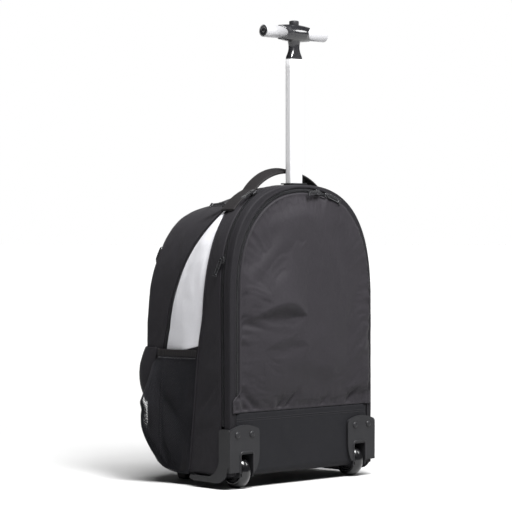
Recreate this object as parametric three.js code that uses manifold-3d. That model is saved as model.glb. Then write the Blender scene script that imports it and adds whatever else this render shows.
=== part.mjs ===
// Wheeled laptop backpack with a telescoping T handle, in millimetres with +Z up.
// X runs across the bag, Y from the wheel side (the back) to the front, Z up from the floor.
// Depths are measured from the plane of the back panel; the bag is centred over its footprint at the end.
import * as THREE from "three";
import { mergeVertices } from "three/addons/utils/BufferGeometryUtils.js";
import Module from "manifold-3d";

const wasm = await Module();
wasm.setup();

// Driving sizes of the sewn bag
const HALF_WIDTH = 162;
const BACK_HALF_WIDTH = 165;
const CLOTH = 2;
const PADDED_CLOTH = 3;
const SEAM_GAP = 0.4;
const CORNER_SEAM_GAP = 1;
const WALL_FOOT = 22.5;
const BACK_CORNER = 6;
const FRONT_DEPTH = 215.5;
const FRONT_CORNER = 19;
const BASE_SEAM_HEIGHT = 122;
const SPRING_SHARE = 0.47;
const CENTRE_DEPTH = 112.94;

// Curve that lifts the bottom of the bag towards its front
const TOE = { depth: 120, height: 120.7, radius: 98.2 };

// Arched outline of the bag at several depths: straight sides up to the spring, then half an oval,
// whose power is 2 for an ellipse and more for a squarer arch
const OUTLINES = [
  { depth: 0, half: BACK_HALF_WIDTH, spring: 290, rise: 200, power: 2.6 },
  { depth: 28, half: BACK_HALF_WIDTH, spring: 290, rise: 200, power: 2.6 },
  { depth: 66, half: HALF_WIDTH, spring: 279, rise: 205, power: 2.6 },
  { depth: 135, half: HALF_WIDTH, spring: 258, rise: 211, power: 2.5 },
  { depth: FRONT_DEPTH, half: HALF_WIDTH, spring: 236, rise: 219, power: 2.4 },
];

// Seams by the climb along the outline from the floor (0) to the crown (1): the inset of the harness zip
// from the edge of the back, and the depths of the other seams
const SEAMS = [
  { climb: 0, harnessInset: 17, laptopZip: 16, gusset: 98, frontZip: 170 },
  { climb: 0.2, harnessInset: 17, laptopZip: 16, gusset: 86.5, frontZip: 168.5 },
  { climb: 0.36, harnessInset: 17, laptopZip: 17, gusset: 77, frontZip: 163 },
  { climb: 0.47, harnessInset: 17, laptopZip: 18, gusset: 65, frontZip: 152 },
  { climb: 0.58, harnessInset: 16.5, laptopZip: 19, gusset: 57, frontZip: 128 },
  { climb: 0.64, harnessInset: 17, laptopZip: 19, gusset: 55.5, frontZip: 111 },
  { climb: 0.71, harnessInset: 17.5, laptopZip: 18.5, gusset: 54.5, frontZip: 87 },
  { climb: 0.76, harnessInset: 17.5, laptopZip: 18.5, gusset: 58, frontZip: 72 },
  { climb: 0.81, harnessInset: 16.5, laptopZip: 19, gusset: 63.5, frontZip: 68.5 },
  { climb: 0.86, harnessInset: 15, laptopZip: 22.5, gusset: 64, frontZip: 68 },
  { climb: 0.92, harnessInset: 12.5, laptopZip: 31, gusset: 64, frontZip: 68 },
  { climb: 1, harnessInset: 9.2, laptopZip: 41, gusset: 64, frontZip: 68 },
];
const WEDGE = { foot: 0.38, tip: 0.788 };
const LAPTOP_ZIP_FOOT = 101;

// Folds and dents of the back panel: place, run direction in degrees, half length, half width and depth
const BACK_FOLDS = [
  { x: -97, z: 380, turn: 43, length: 46, width: 13, depth: 4.4 },
  { x: -70, z: 352, turn: 41, length: 52, width: 14, depth: 4.8 },
  { x: -68, z: 282, turn: 2, length: 62, width: 16, depth: 5 },
  { x: -63, z: 229, turn: -8, length: 56, width: 18, depth: 3.6 },
  { x: -120, z: 146, turn: -38, length: 30, width: 14, depth: 4.4 },
  { x: 112, z: 148, turn: 51, length: 26, width: 14, depth: 3.6 },
  { x: 128, z: 238, turn: 70, length: 34, width: 14, depth: 4 },
  { x: 20, z: 176, turn: -9, length: 80, width: 20, depth: 3 },
];
const BACK_PUFF = { height: 8, foot: 8, crown: 6, side: 6.4 };

// Front panel: where it starts, and the puff above its pocket
const FRONT_PANEL = { foot: 84, puff: 6, puffFoot: 256, puffTop: 424 };

// Zips: flat tapes with a raised coil
const ZIP = { width: 7, tape: 1.4, coilWidth: 4.4, coil: 2.6 };
const SLIDER = { length: 11, width: 8.5, height: 4 };
const PULL = {
  length: 30,
  width: 7.5,
  thickness: 2.6,
  recess: 0.9,
  rim: 1.7,
  neck: 4,
  head: 9.5,
  headLength: 3,
  overlap: 2,
};

// Sliders by their share of the zip's run, and how the pull lies: its swing from the zip and its tilt
const ZIP_PULLS = [
  { name: "harness_a", zip: "harness", share: 0.521, towards: "down", swing: 8, tilt: 4 },
  { name: "harness_b", zip: "harness", share: 0.542, towards: "up", swing: -10, tilt: 6 },
  { name: "laptop_side", zip: "laptop", share: 0.284, towards: "down", swing: -12, tilt: 6 },
  { name: "laptop_top", zip: "laptop", share: 0.42, towards: "down", swing: 8, tilt: 4 },
  { name: "front", zip: "front", share: 0.394, towards: "down", swing: -78, tilt: 5 },
];

// Webbing grab handle over the crown
const GRAB = {
  depth: 48,
  width: 30,
  thickness: 3,
  rootShare: 0.374,
  liftShare: 0.436,
  crown: 515.5,
  tilt: 13,
};

// Side pockets of mesh, with an elastic hem
const MESH = { thickness: 1.2, cornerLift: 2.4, sag: 3, top: 209.6, climb: 0.34, skew: 2.2 };
const HEM = { height: 11, thickness: 2.2 };
const MESH_EDGES = [
  { rise: 0, front: 184, swell: 4 },
  { rise: 0.12, front: 198, swell: 18 },
  { rise: 0.25, front: 206, swell: 28 },
  { rise: 0.37, front: 208, swell: 30 },
  { rise: 0.43, front: 205, swell: 29 },
  { rise: 0.47, front: 192, swell: 28 },
  { rise: 0.51, front: 177, swell: 27 },
  { rise: 0.75, front: 175, swell: 19 },
  { rise: 1, front: 174, swell: 9 },
];

// Puffed pocket low on the front
const POCKET = { foot: 131, top: 222, rearDepth: 179, frontSwell: 19.5, cornerSwell: 4 };

// Cable port on the left front shoulder: run along the outline and turns round the front corner
const PORT = { from: 0.329, to: 0.352, turns: [20, 42, 64], thickness: 1.8 };

// Base panel: a band on the back, the bottom and the toe
const BASE = { thickness: 2.4, corner: 12, bandHalf: 150.6, floorHalf: 161.5, toeAngle: 66 };

// Telescoping handle
const TUBE = { depth: 21, width: 28, thickness: 15, corner: 3.5, wall: 1.3, top: 697, foot: 335 };
const SOCKET = { play: 0.4, wall: 2.4, top: 490.7, flange: 4, flangeHeight: 2 };
const GRIP_HEIGHT = 740;
const BARREL = { half: 36, radius: 14.6, endRadius: 11.6, scallop: 12, socketDepth: 21, socketRadius: 10.7 };
const NECK = [
  { z: 697.3, width: 28, thickness: 15, corner: 3.5 },
  { z: 702, width: 27, thickness: 15, corner: 4.5 },
  { z: 708, width: 22.6, thickness: 15, corner: 6 },
  { z: 715, width: 19.4, thickness: 15, corner: 6.8 },
  { z: 721, width: 20, thickness: 15.2, corner: 7 },
  { z: 729, width: 22, thickness: 16, corner: 7 },
  { z: 740, width: 24, thickness: 17, corner: 7 },
];
const SLEEVE = { radius: 10.3, wall: 1.3, reach: 70.5 };
const BUTTON = { radius: 8, bore: 8.4, foot: 747.5, top: 761, boreFoot: 743.5 };
const RIVET = { radius: 1.9, z: 689, sides: 12 };

// Wheels, their housings and the front feet
const WHEEL = { x: 131, depth: 20, radius: 27, width: 21, tread: 7, hubRadius: 16, hubWidth: 16, axle: 4 };
const HUB_BOSS = { height: 1.8, tip: 3.5, foot: 5 };
const HOUSING = {
  inner: 103,
  outer: 168.4,
  back: -4.5,
  top: 97,
  crownTop: 104,
  armDepth: 22,
  skidDepth: 92,
  skidTop: 19.2,
  skidFoot: 10,
  fillet: 30,
  corner: 6,
  heelRise: 44,
  plateFoot: 28,
  wall: 2.1,
  wheelRoom: 2.5,
};
const BOLT = { radius: 5.2, height: 2.4, z: 88, x: [120, 152] };
const FOOT = {
  x: 97,
  depth: 179,
  topWidth: 30,
  topDepth: 38,
  soleWidth: 22,
  soleDepth: 24,
  soleRound: 1.6,
  flareTop: 30,
  top: 60,
};

// Materials by finish
const FINISHES = {
  nylon: { color: 0x24252a, roughness: 0.85, metalness: 0 },
  base: { color: 0x2b2d33, roughness: 0.8, metalness: 0 },
  pale: { color: 0xa9a9b4, roughness: 0.85, metalness: 0 },
  mesh: { color: 0x141416, roughness: 0.9, metalness: 0 },
  webbing: { color: 0x1b1b1e, roughness: 0.8, metalness: 0 },
  zip: { color: 0x121214, roughness: 0.6, metalness: 0 },
  pull: { color: 0x2a2b30, roughness: 0.3, metalness: 0.6 },
  plastic: { color: 0x26272b, roughness: 0.5, metalness: 0 },
  gloss: { color: 0x0a0a0b, roughness: 0.15, metalness: 0 },
  aluminium: { color: 0xc9cacd, roughness: 0.25, metalness: 1 },
  steel: { color: 0x8c8d90, roughness: 0.35, metalness: 1 },
  rubber: { color: 0x101012, roughness: 0.45, metalness: 0 },
};

const backpack = new THREE.Group();
const { lerp, degToRad } = THREE.MathUtils;
const vec = (x, y, z) => new THREE.Vector3(x, y, z);

// Tables with named columns, read between their rows
function tableReader(rows, key, Interpolant) {
  const names = Object.keys(rows[0]).filter((name) => name !== key);
  const keys = rows.map((row) => row[key]);
  const values = rows.flatMap((row) => names.map((name) => row[name]));
  const curve = new Interpolant(keys, values, names.length);
  return (at) => {
    const sample = curve.evaluate(THREE.MathUtils.clamp(at, keys[0], keys.at(-1)));
    return Object.fromEntries(names.map((name, i) => [name, sample[i]]));
  };
}
const outlineAt = tableReader(OUTLINES, "depth", THREE.LinearInterpolant);
const seamsAt = tableReader(SEAMS, "climb", THREE.CubicInterpolant);
const meshEdgeAt = tableReader(MESH_EDGES, "rise", THREE.CubicInterpolant);

// Signed volume of a closed mesh, positive when its faces point out
function signedVolume(position, index) {
  const corner = (i) => vec().fromBufferAttribute(position, index[i]);
  let sum = 0;
  for (let i = 0; i < index.length; i += 3) {
    sum += corner(i).dot(corner(i + 1).cross(corner(i + 2)));
  }
  return sum / 6;
}

// One closed body with merged vertices, no collapsed faces, and its faces pointing out
function closed(geometry) {
  const bare = new THREE.BufferGeometry();
  bare.setAttribute("position", geometry.getAttribute("position").clone());
  bare.setIndex(geometry.getIndex());
  const merged = mergeVertices(bare, 1e-4);
  const raw = Array.from(merged.getIndex().array);
  const kept = [];
  for (let i = 0; i < raw.length; i += 3) {
    const [a, b, c] = raw.slice(i, i + 3);
    if (a !== b && b !== c && c !== a) {
      kept.push(a, b, c);
    }
  }
  if (signedVolume(merged.getAttribute("position"), kept) < 0) {
    kept.reverse();
  }
  merged.setIndex(kept);
  merged.computeVertexNormals();
  return merged;
}

function mirrored(geometry) {
  return closed(geometry.clone().scale(-1, 1, 1));
}

function toSolid(geometry) {
  const body = closed(geometry);
  return new wasm.Manifold(
    new wasm.Mesh({
      numProp: 3,
      vertProperties: Float32Array.from(body.getAttribute("position").array),
      triVerts: Uint32Array.from(body.getIndex().array),
    }),
  );
}

function fromSolid(solid) {
  const mesh = solid.getMesh();
  const geometry = new THREE.BufferGeometry();
  geometry.setAttribute("position", new THREE.BufferAttribute(mesh.vertProperties, 3));
  geometry.setIndex(new THREE.BufferAttribute(mesh.triVerts, 1));
  return closed(geometry);
}

function add(name, geometry, finish) {
  const material = new THREE.MeshStandardMaterial(FINISHES[finish]);
  material.name = finish;
  const mesh = new THREE.Mesh(geometry, material);
  mesh.name = name;
  backpack.add(mesh);
}

function addPair(name, geometry, finish) {
  add(`${name}_left`, mirrored(geometry), finish);
  add(`${name}_right`, geometry, finish);
}

function evenly(count, from = 0, to = 1) {
  return Array.from({ length: count + 1 }, (_, i) => lerp(from, to, i / count));
}

// Wall of cloth: rows of points over the same stations, lifted off the surface and given a thickness
function clothWall(stations, rows, thickness, lift = 0) {
  const grid = rows.map((row) => stations.map((s) => row(s)));
  const across = stations.length;
  const down = rows.length;
  const outer = [];
  const inner = [];
  for (let j = 0; j < down; j += 1) {
    for (let i = 0; i < across; i += 1) {
      const along = grid[j][Math.min(i + 1, across - 1)].clone().sub(grid[j][Math.max(i - 1, 0)]);
      const over = grid[Math.min(j + 1, down - 1)][i].clone().sub(grid[Math.max(j - 1, 0)][i]);
      const normal = along.cross(over).normalize();
      outer.push(grid[j][i].clone().addScaledVector(normal, lift));
      inner.push(grid[j][i].clone().addScaledVector(normal, lift - thickness));
    }
  }
  const points = [...outer, ...inner];
  const back = outer.length;
  const faces = [];
  const quad = (a, b, c, d) => faces.push(a, b, c, a, c, d);
  const at = (i, j) => j * across + i;
  for (let j = 0; j < down - 1; j += 1) {
    for (let i = 0; i < across - 1; i += 1) {
      const [a, b, c, d] = [at(i, j), at(i + 1, j), at(i + 1, j + 1), at(i, j + 1)];
      quad(a, b, c, d);
      quad(back + d, back + c, back + b, back + a);
    }
  }
  for (let i = 0; i < across - 1; i += 1) {
    quad(at(i + 1, 0), at(i, 0), back + at(i, 0), back + at(i + 1, 0));
    quad(at(i, down - 1), at(i + 1, down - 1), back + at(i + 1, down - 1), back + at(i, down - 1));
  }
  for (let j = 0; j < down - 1; j += 1) {
    quad(at(0, j), at(0, j + 1), back + at(0, j + 1), back + at(0, j));
    quad(at(across - 1, j + 1), at(across - 1, j), back + at(across - 1, j), back + at(across - 1, j + 1));
  }
  const geometry = new THREE.BufferGeometry().setFromPoints(points);
  geometry.setIndex(faces);
  return closed(geometry);
}

// Skin through rings of equal length, closed at both ends
function loft(rings) {
  const sides = rings[0].length;
  const points = rings.flat();
  const faces = [];
  for (let r = 0; r < rings.length - 1; r += 1) {
    for (let i = 0; i < sides; i += 1) {
      const [a, b] = [r * sides + i, r * sides + ((i + 1) % sides)];
      faces.push(a, b, b + sides, a, b + sides, a + sides);
    }
  }
  for (const [ring, start] of [[rings[0], 0], [rings.at(-1), points.length - sides]]) {
    const middle = ring.reduce((sum, p) => sum.add(p), vec(0, 0, 0)).divideScalar(sides);
    points.push(middle);
    for (let i = 0; i < sides; i += 1) {
      const [a, b] = [start + i, start + ((i + 1) % sides)];
      const cap = start === 0 ? [b, a] : [a, b];
      faces.push(...cap, points.length - 1);
    }
  }
  const geometry = new THREE.BufferGeometry().setFromPoints(points);
  geometry.setIndex(faces);
  return closed(geometry);
}

// Strip with a flat section, run through places that each have a direction across and a direction out
function strip(places, section) {
  const ring = ({ at, across, out }) =>
    section.map(([a, o]) => at.clone().addScaledVector(across, a).addScaledVector(out, o));
  return loft(places.map(ring));
}

// Solid swept from a closed outline along X or Y
const straight = (depth) => ({ depth, bevelEnabled: false, curveSegments: 6 });

function sweptAlongX(outline, from, to) {
  const geometry = new THREE.ExtrudeGeometry(outline, straight(to - from));
  geometry.applyMatrix4(new THREE.Matrix4().makeBasis(vec(0, 1, 0), vec(0, 0, 1), vec(1, 0, 0)));
  return geometry.translate(from, 0, 0);
}

function sweptAlongY(outline, from, to) {
  const geometry = new THREE.ExtrudeGeometry(outline, straight(to - from));
  geometry.applyMatrix4(new THREE.Matrix4().makeBasis(vec(1, 0, 0), vec(0, 0, 1), vec(0, -1, 0)));
  return geometry.translate(0, to, 0);
}

// Turned solid about an axis along X, from a profile of [distance along X, radius]
function turnedOnX(profile, sides, centre) {
  const points = profile.map(([x, r]) => new THREE.Vector2(r, x));
  const geometry = new THREE.LatheGeometry(points, sides);
  geometry.rotateZ(-Math.PI / 2);
  return closed(geometry.translate(centre.x, centre.y, centre.z));
}

function roundedRing({ width, thickness, corner, z }, depth) {
  const perCorner = 3;
  const ring = [];
  const corners = [[1, 1], [-1, 1], [-1, -1], [1, -1]];
  corners.forEach(([sx, sy], quarter) => {
    for (let k = 0; k <= perCorner; k += 1) {
      const angle = (quarter + k / perCorner) * (Math.PI / 2);
      const x = sx * (width / 2 - corner) + corner * Math.cos(angle);
      const y = sy * (thickness / 2 - corner) + corner * Math.sin(angle);
      ring.push(vec(x, depth + y, z));
    }
  });
  return ring;
}

// Foot of the side walls, which rises with the toe
function wallFoot(depth) {
  const run = Math.max(0, depth - TOE.depth);
  return TOE.height - Math.sqrt(TOE.radius ** 2 - run ** 2);
}

// Point of the arched outline at a share of its run (0 and 1 are the lower ends), with an inset from it
const climbOf = (share) => 2 * Math.min(share, 1 - share);

function outlinePoint(share, depth, inset = 0) {
  const { half, spring, rise, power } = outlineAt(depth);
  const side = share < 0.5 ? -1 : 1;
  const climb = climbOf(share);
  if (climb <= SPRING_SHARE) {
    return vec(side * (half - inset), depth, lerp(wallFoot(depth), spring, climb / SPRING_SHARE));
  }
  const turn = ((climb - SPRING_SHARE) / (1 - SPRING_SHARE)) * (Math.PI / 2);
  const [run, climbUp] = [Math.cos(turn), Math.sin(turn)].map((k) => Math.max(k, 0) ** (2 / power));
  return vec(side * (half - inset) * run, depth, spring + (rise - inset) * climbUp);
}

// Direction out of the outline at a share of its run
function outlineNormal(share, depth) {
  const step = 1e-3;
  const run = outlinePoint(share + step, depth).sub(outlinePoint(share - step, depth));
  return run.cross(vec(0, 1, 0)).normalize();
}

// Share of the left half of the outline at a height on the straight side
const shareAtHeight = (z) => ((z - WALL_FOOT) / (OUTLINES[0].spring - WALL_FOOT)) * (SPRING_SHARE / 2);

// Stations along the whole arch, closer together on the round part
const zipFootShare = shareAtHeight(LAPTOP_ZIP_FOOT);
const sideStations = [
  ...evenly(5, 0, SPRING_SHARE / 2),
  zipFootShare - 0.001,
  zipFootShare,
].sort((a, b) => a - b);
const archStations = [
  ...sideStations.slice(0, -1),
  ...evenly(20, SPRING_SHARE / 2, 1 - SPRING_SHARE / 2),
  ...sideStations.slice(0, -1).reverse().map((s) => 1 - s),
];
const halfZip = ZIP.width / 2 + SEAM_GAP;

// Rear gusset: from the harness zip round the back corner to the laptop zip, with a hole for the socket
const tubeCentre = (z, grow) => ({
  width: TUBE.width + 2 * grow,
  thickness: TUBE.thickness + 2 * grow,
  corner: TUBE.corner + grow / 2,
  z,
});
const socketGrow = SOCKET.play + SOCKET.wall;
const tubeColumn = (from, to, grow) =>
  loft([from, to].map((z) => roundedRing(tubeCentre(z, grow), TUBE.depth)));

function rearGusset() {
  const cornerAngles = [30, 65].map(degToRad);
  const zipSide = (s) => (Math.min(s, 1 - s) < zipFootShare - 0.0005 ? 1 : -1);
  const rows = [
    (s) => outlinePoint(s, 0, seamsAt(climbOf(s)).harnessInset - halfZip - SEAM_GAP),
    ...cornerAngles.map((a) => (s) =>
      outlinePoint(s, BACK_CORNER * (1 - Math.cos(a)), BACK_CORNER * (1 - Math.sin(a)))),
    (s) => outlinePoint(s, seamsAt(climbOf(s)).laptopZip + halfZip * zipSide(s) - SEAM_GAP),
  ];
  const wall = toSolid(clothWall(archStations, rows, CLOTH));
  const hole = toSolid(tubeColumn(SOCKET.top - 40, SOCKET.top + 40, socketGrow + SEAM_GAP));
  return fromSolid(wall.subtract(hole));
}
add("rear_gusset", rearGusset(), "nylon");

// Main gusset: from the laptop zip to the pale wedges at the sides and the front zip at the crown
const frontZipRear = (s) => seamsAt(climbOf(s)).frontZip - halfZip;
const mainGussetRows = [
  (s) => outlinePoint(s, seamsAt(climbOf(s)).laptopZip + halfZip),
  (s) => outlinePoint(s, Math.min(seamsAt(climbOf(s)).gusset - SEAM_GAP / 2, frontZipRear(s))),
];
add("main_gusset", clothWall(archStations, mainGussetRows, CLOTH), "nylon");

// Side wedges in pale cloth, and the dark panels below them behind the mesh
function sidePanel(from, to) {
  const rearEdge = (s) => seamsAt(climbOf(s)).gusset + SEAM_GAP / 2;
  const rows = evenly(3).map((v) => (s) => outlinePoint(s, lerp(rearEdge(s), frontZipRear(s) - SEAM_GAP, v)));
  const [low, high] = [1 - to / 2, 1 - from / 2];
  const stations = [low, ...archStations.filter((s) => s > low + 0.005 && s < high - 0.005), high];
  return clothWall(stations, rows, CLOTH);
}
addPair("side_wedge", sidePanel(WEDGE.foot + 0.001, WEDGE.tip), "pale");
addPair("lower_side", sidePanel(0, WEDGE.foot - 0.001), "nylon");

// Front gusset: from the front zip round the front corner
const frontCornerPoint = (s, angle) =>
  outlinePoint(
    s,
    FRONT_DEPTH - FRONT_CORNER * (1 - Math.sin(angle)),
    FRONT_CORNER * (1 - Math.cos(angle)),
  );
function frontGusset() {
  const rows = [
    (s) => outlinePoint(s, seamsAt(climbOf(s)).frontZip + halfZip + SEAM_GAP),
    ...[0, 45, 90].map(degToRad).map((a) => (s) => frontCornerPoint(s, a)),
  ];
  return clothWall(archStations, rows, CLOTH);
}
add("front_gusset", frontGusset(), "nylon");

// Arched panel on columns that end on the arch, from its foot to its crown
function archedPanel({ inset, depth, foot, columns, rows, thickness, relief, facing }) {
  const point = (u, v) => {
    const share = 0.5 + u * (0.5 - SPRING_SHARE / 2);
    const rim = outlinePoint(share, depth, inset(share));
    const z = lerp(foot, rim.z, v);
    return vec(rim.x, depth + facing * relief(rim.x, z, u, v), z);
  };
  const heights = facing < 0 ? evenly(rows) : evenly(rows).reverse();
  return clothWall(evenly(columns, -1, 1), heights.map((v) => (u) => point(u, v)), thickness);
}

// Back panel: slightly puffed padded cover with its main folds
function backRelief(x, z, u, v) {
  const { foot, crown, side } = BACK_PUFF;
  const rim = Math.min(1, foot * v, crown * (1 - v), side * (1 - Math.abs(u)));
  let height = BACK_PUFF.height * rim;
  for (const fold of BACK_FOLDS) {
    const turn = degToRad(fold.turn);
    const along = (x - fold.x) * Math.cos(turn) + (z - fold.z) * Math.sin(turn);
    const across = (z - fold.z) * Math.cos(turn) - (x - fold.x) * Math.sin(turn);
    const reach = Math.exp(-((along / fold.length) ** 2) - (across / fold.width) ** 2);
    height -= fold.depth * reach * rim;
  }
  return height;
}
const backPanel = archedPanel({
  inset: (s) => seamsAt(climbOf(s)).harnessInset + halfZip + SEAM_GAP,
  depth: 0,
  foot: BASE_SEAM_HEIGHT + SEAM_GAP,
  columns: 16,
  rows: 15,
  thickness: PADDED_CLOTH,
  relief: backRelief,
  facing: -1,
});
add("back_panel", backPanel, "nylon");

// Front panel: plain, and slightly puffed above the pocket
function frontRelief(x, z, u) {
  const { puff, puffFoot, puffTop } = FRONT_PANEL;
  const rise = THREE.MathUtils.clamp((z - puffFoot) / (puffTop - puffFoot), 0, 1);
  return puff * Math.sin(Math.PI * rise) * Math.cos((u * Math.PI) / 2);
}
const frontPanel = archedPanel({
  inset: () => FRONT_CORNER + CORNER_SEAM_GAP,
  depth: FRONT_DEPTH,
  foot: FRONT_PANEL.foot,
  columns: 12,
  rows: 7,
  thickness: CLOTH,
  relief: frontRelief,
  facing: 1,
});
add("front_panel", frontPanel, "nylon");

// Front pocket: puffed cloth that wraps the lower front and its corners
function frontPocket() {
  const cornerX = HALF_WIDTH - FRONT_CORNER;
  const cornerDepth = FRONT_DEPTH - FRONT_CORNER;
  const rear = { at: vec(-HALF_WIDTH, POCKET.rearDepth, 0), out: vec(-1, 0, 0), swell: 0 };
  const round = evenly(2).map((k) => {
    const out = vec(-Math.cos((k * Math.PI) / 2), Math.sin((k * Math.PI) / 2), 0);
    const at = vec(-cornerX, cornerDepth, 0).addScaledVector(out, FRONT_CORNER);
    return { at, out, swell: lerp(POCKET.cornerSwell * 0.6, POCKET.frontSwell * 0.9, k) };
  });
  const flat = [0.6, 0.25].map((k) => ({
    at: vec(-cornerX * k, FRONT_DEPTH, 0),
    out: vec(0, 1, 0),
    swell: POCKET.frontSwell,
  }));
  const leftHalf = [rear, ...round, ...flat];
  const flip = (p) => ({ at: p.at.clone().setX(-p.at.x), out: p.out.clone().setX(-p.out.x), swell: p.swell });
  const plan = [...leftHalf, ...leftHalf.map(flip).reverse()];
  const rows = evenly(6).reverse().map((rise) => (i) => {
    const swell = SEAM_GAP + plan[i].swell * Math.sin(Math.PI * rise) ** 0.8;
    const point = plan[i].at.clone().addScaledVector(plan[i].out, swell);
    return point.setZ(lerp(POCKET.foot, POCKET.top, rise));
  });
  return clothWall(plan.map((_, i) => i), rows, CLOTH, CLOTH);
}
add("front_pocket", frontPocket(), "nylon");

// Base panel: back band, bottom and toe in one sheet, cut out round the wheel wells
const wheelWell = {
  inner: WHEEL.x - WHEEL.width / 2 - HOUSING.wheelRoom - HOUSING.wall,
  outer: WHEEL.x + WHEEL.width / 2 + HOUSING.wheelRoom + HOUSING.wall,
  depth: WHEEL.depth + WHEEL.radius + HOUSING.wheelRoom + HOUSING.wall,
  top: 2 * WHEEL.radius + HOUSING.wheelRoom + HOUSING.wall + 1,
};
const baseOuter = WALL_FOOT - SEAM_GAP - BASE.thickness;

function boxBetween(low, high) {
  const size = high.clone().sub(low);
  const middle = low.clone().add(high).multiplyScalar(0.5);
  return new THREE.BoxGeometry(size.x, size.y, size.z).translate(middle.x, middle.y, middle.z);
}

// How far the rounded front corner draws the side in at a depth
function cornerInset(depth) {
  const run = THREE.MathUtils.clamp(depth - (FRONT_DEPTH - FRONT_CORNER), 0, FRONT_CORNER);
  return FRONT_CORNER - Math.sqrt(FRONT_CORNER ** 2 - run ** 2);
}

function basePanel() {
  const backRound = [0, 30, 60, 90].map(degToRad).map((a) => ({
    depth: BASE.corner * (1 - Math.cos(a)),
    z: baseOuter + BASE.corner * (1 - Math.sin(a)),
    half: BASE.bandHalf,
  }));
  const toeRadius = TOE.height - baseOuter;
  const toe = evenly(9, 0, degToRad(BASE.toeAngle)).map((a) => ({
    depth: TOE.depth + toeRadius * Math.sin(a),
    z: TOE.height - toeRadius * Math.cos(a),
    half: BASE.floorHalf - cornerInset(TOE.depth + toeRadius * Math.sin(a)),
  }));
  const profile = [
    { depth: 0, z: BASE_SEAM_HEIGHT - SEAM_GAP, half: BASE.bandHalf },
    ...backRound,
    { depth: BASE.corner + 8, z: baseOuter, half: BASE.floorHalf },
    ...toe,
  ];
  const rows = profile.map((p) => (k) => vec(k * p.half, p.depth, p.z));
  let sheet = toSolid(clothWall([1, 0, -1], rows, BASE.thickness));
  for (const side of [-1, 1]) {
    const low = vec(side > 0 ? wheelWell.inner - SEAM_GAP : -wheelWell.outer - SEAM_GAP, -20, 0);
    const high = vec(
      side > 0 ? wheelWell.outer + SEAM_GAP : -wheelWell.inner + SEAM_GAP,
      wheelWell.depth + SEAM_GAP,
      wheelWell.top + SEAM_GAP,
    );
    sheet = sheet.subtract(toSolid(boxBetween(low, high)));
  }
  return fromSolid(sheet);
}
add("base_panel", basePanel(), "base");

// Mesh side pockets, swelling most near the front corner, and their hems
function pocketPoint(a, b) {
  const { front, swell } = meshEdgeAt(b);
  const climb = lerp(0, MESH.climb, b);
  const depth = lerp(seamsAt(climb).gusset + CLOTH, front, a);
  const body = HALF_WIDTH - cornerInset(depth);
  const cornerLift = Math.min(MESH.cornerLift, Math.max(0, depth - (FRONT_DEPTH - FRONT_CORNER)) / 4);
  const out = swell * Math.sin(Math.PI * a ** MESH.skew);
  return vec(body + SEAM_GAP + cornerLift + out, depth, lerp(wallFoot(depth) - MESH.sag, MESH.top, b));
}
const meshStations = [0, 0.15, 0.3, 0.42, 0.53, 0.63, 0.72, 0.8, 0.88, 0.95, 1];
const meshRises = [0, 0.12, 0.24, 0.33, 0.38, 0.43, 0.47, 0.51, 0.64, 0.82, 1];
const meshRows = meshRises.map((b) => (a) => pocketPoint(a, b));
addPair("mesh_pocket", clothWall(meshStations, meshRows, MESH.thickness, MESH.thickness), "mesh");

const hemSection = [
  [0, 0],
  [HEM.thickness, 0],
  [HEM.thickness, HEM.height],
  [0, HEM.height],
];
const hemPlaces = meshStations.map((a) => ({
  at: pocketPoint(a, 1).add(vec(SEAM_GAP, 0, SEAM_GAP)),
  across: vec(1, 0, 0),
  out: vec(0, 0, 1),
}));
addPair("pocket_hem", strip(hemPlaces, hemSection), "webbing");

// Zips
const zipSection = [
  [-ZIP.width / 2, -ZIP.tape],
  [ZIP.width / 2, -ZIP.tape],
  [ZIP.width / 2, 0],
  [ZIP.coilWidth / 2, ZIP.coil - ZIP.tape],
  [-ZIP.coilWidth / 2, ZIP.coil - ZIP.tape],
  [-ZIP.width / 2, 0],
];
const zipOnGusset = (seam, from) =>
  [from, ...archStations.filter((s) => s > from && s < 1 - from), 1 - from].map((s) => {
    const depth = seamsAt(climbOf(s))[seam];
    return { at: outlinePoint(s, depth), across: vec(0, 1, 0), out: outlineNormal(s, depth) };
  });
const zipFoot = shareAtHeight(BASE_SEAM_HEIGHT + SEAM_GAP);
const zipStations = [zipFoot, ...archStations.filter((s) => s > zipFoot && s < 1 - zipFoot), 1 - zipFoot];
const harnessZipPlaces = zipStations.map((s) => ({
  at: outlinePoint(s, 0, seamsAt(climbOf(s)).harnessInset),
  across: outlineNormal(s, 0),
  out: vec(0, -1, 0),
}));
add("harness_zip", strip(harnessZipPlaces, zipSection), "zip");
add("laptop_zip", strip(zipOnGusset("laptopZip", zipFootShare), zipSection), "zip");
add("front_zip", strip(zipOnGusset("frontZip", shareAtHeight(WALL_FOOT + 2 * ZIP.tape)), zipSection), "zip");

// Sliders with moulded pulls: each rides on a zip and points its pull along a direction on the cloth
function sliderShape() {
  const outline = new THREE.Shape();
  const [l, w] = [SLIDER.length / 2, SLIDER.width / 2];
  outline.moveTo(-l, -w * 0.7);
  outline.lineTo(-l * 0.2, -w);
  outline.lineTo(l, -w);
  outline.lineTo(l, w);
  outline.lineTo(-l * 0.2, w);
  outline.lineTo(-l, w * 0.7);
  outline.closePath();
  return new THREE.ExtrudeGeometry(outline, { depth: SLIDER.height, bevelEnabled: false });
}

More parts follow.
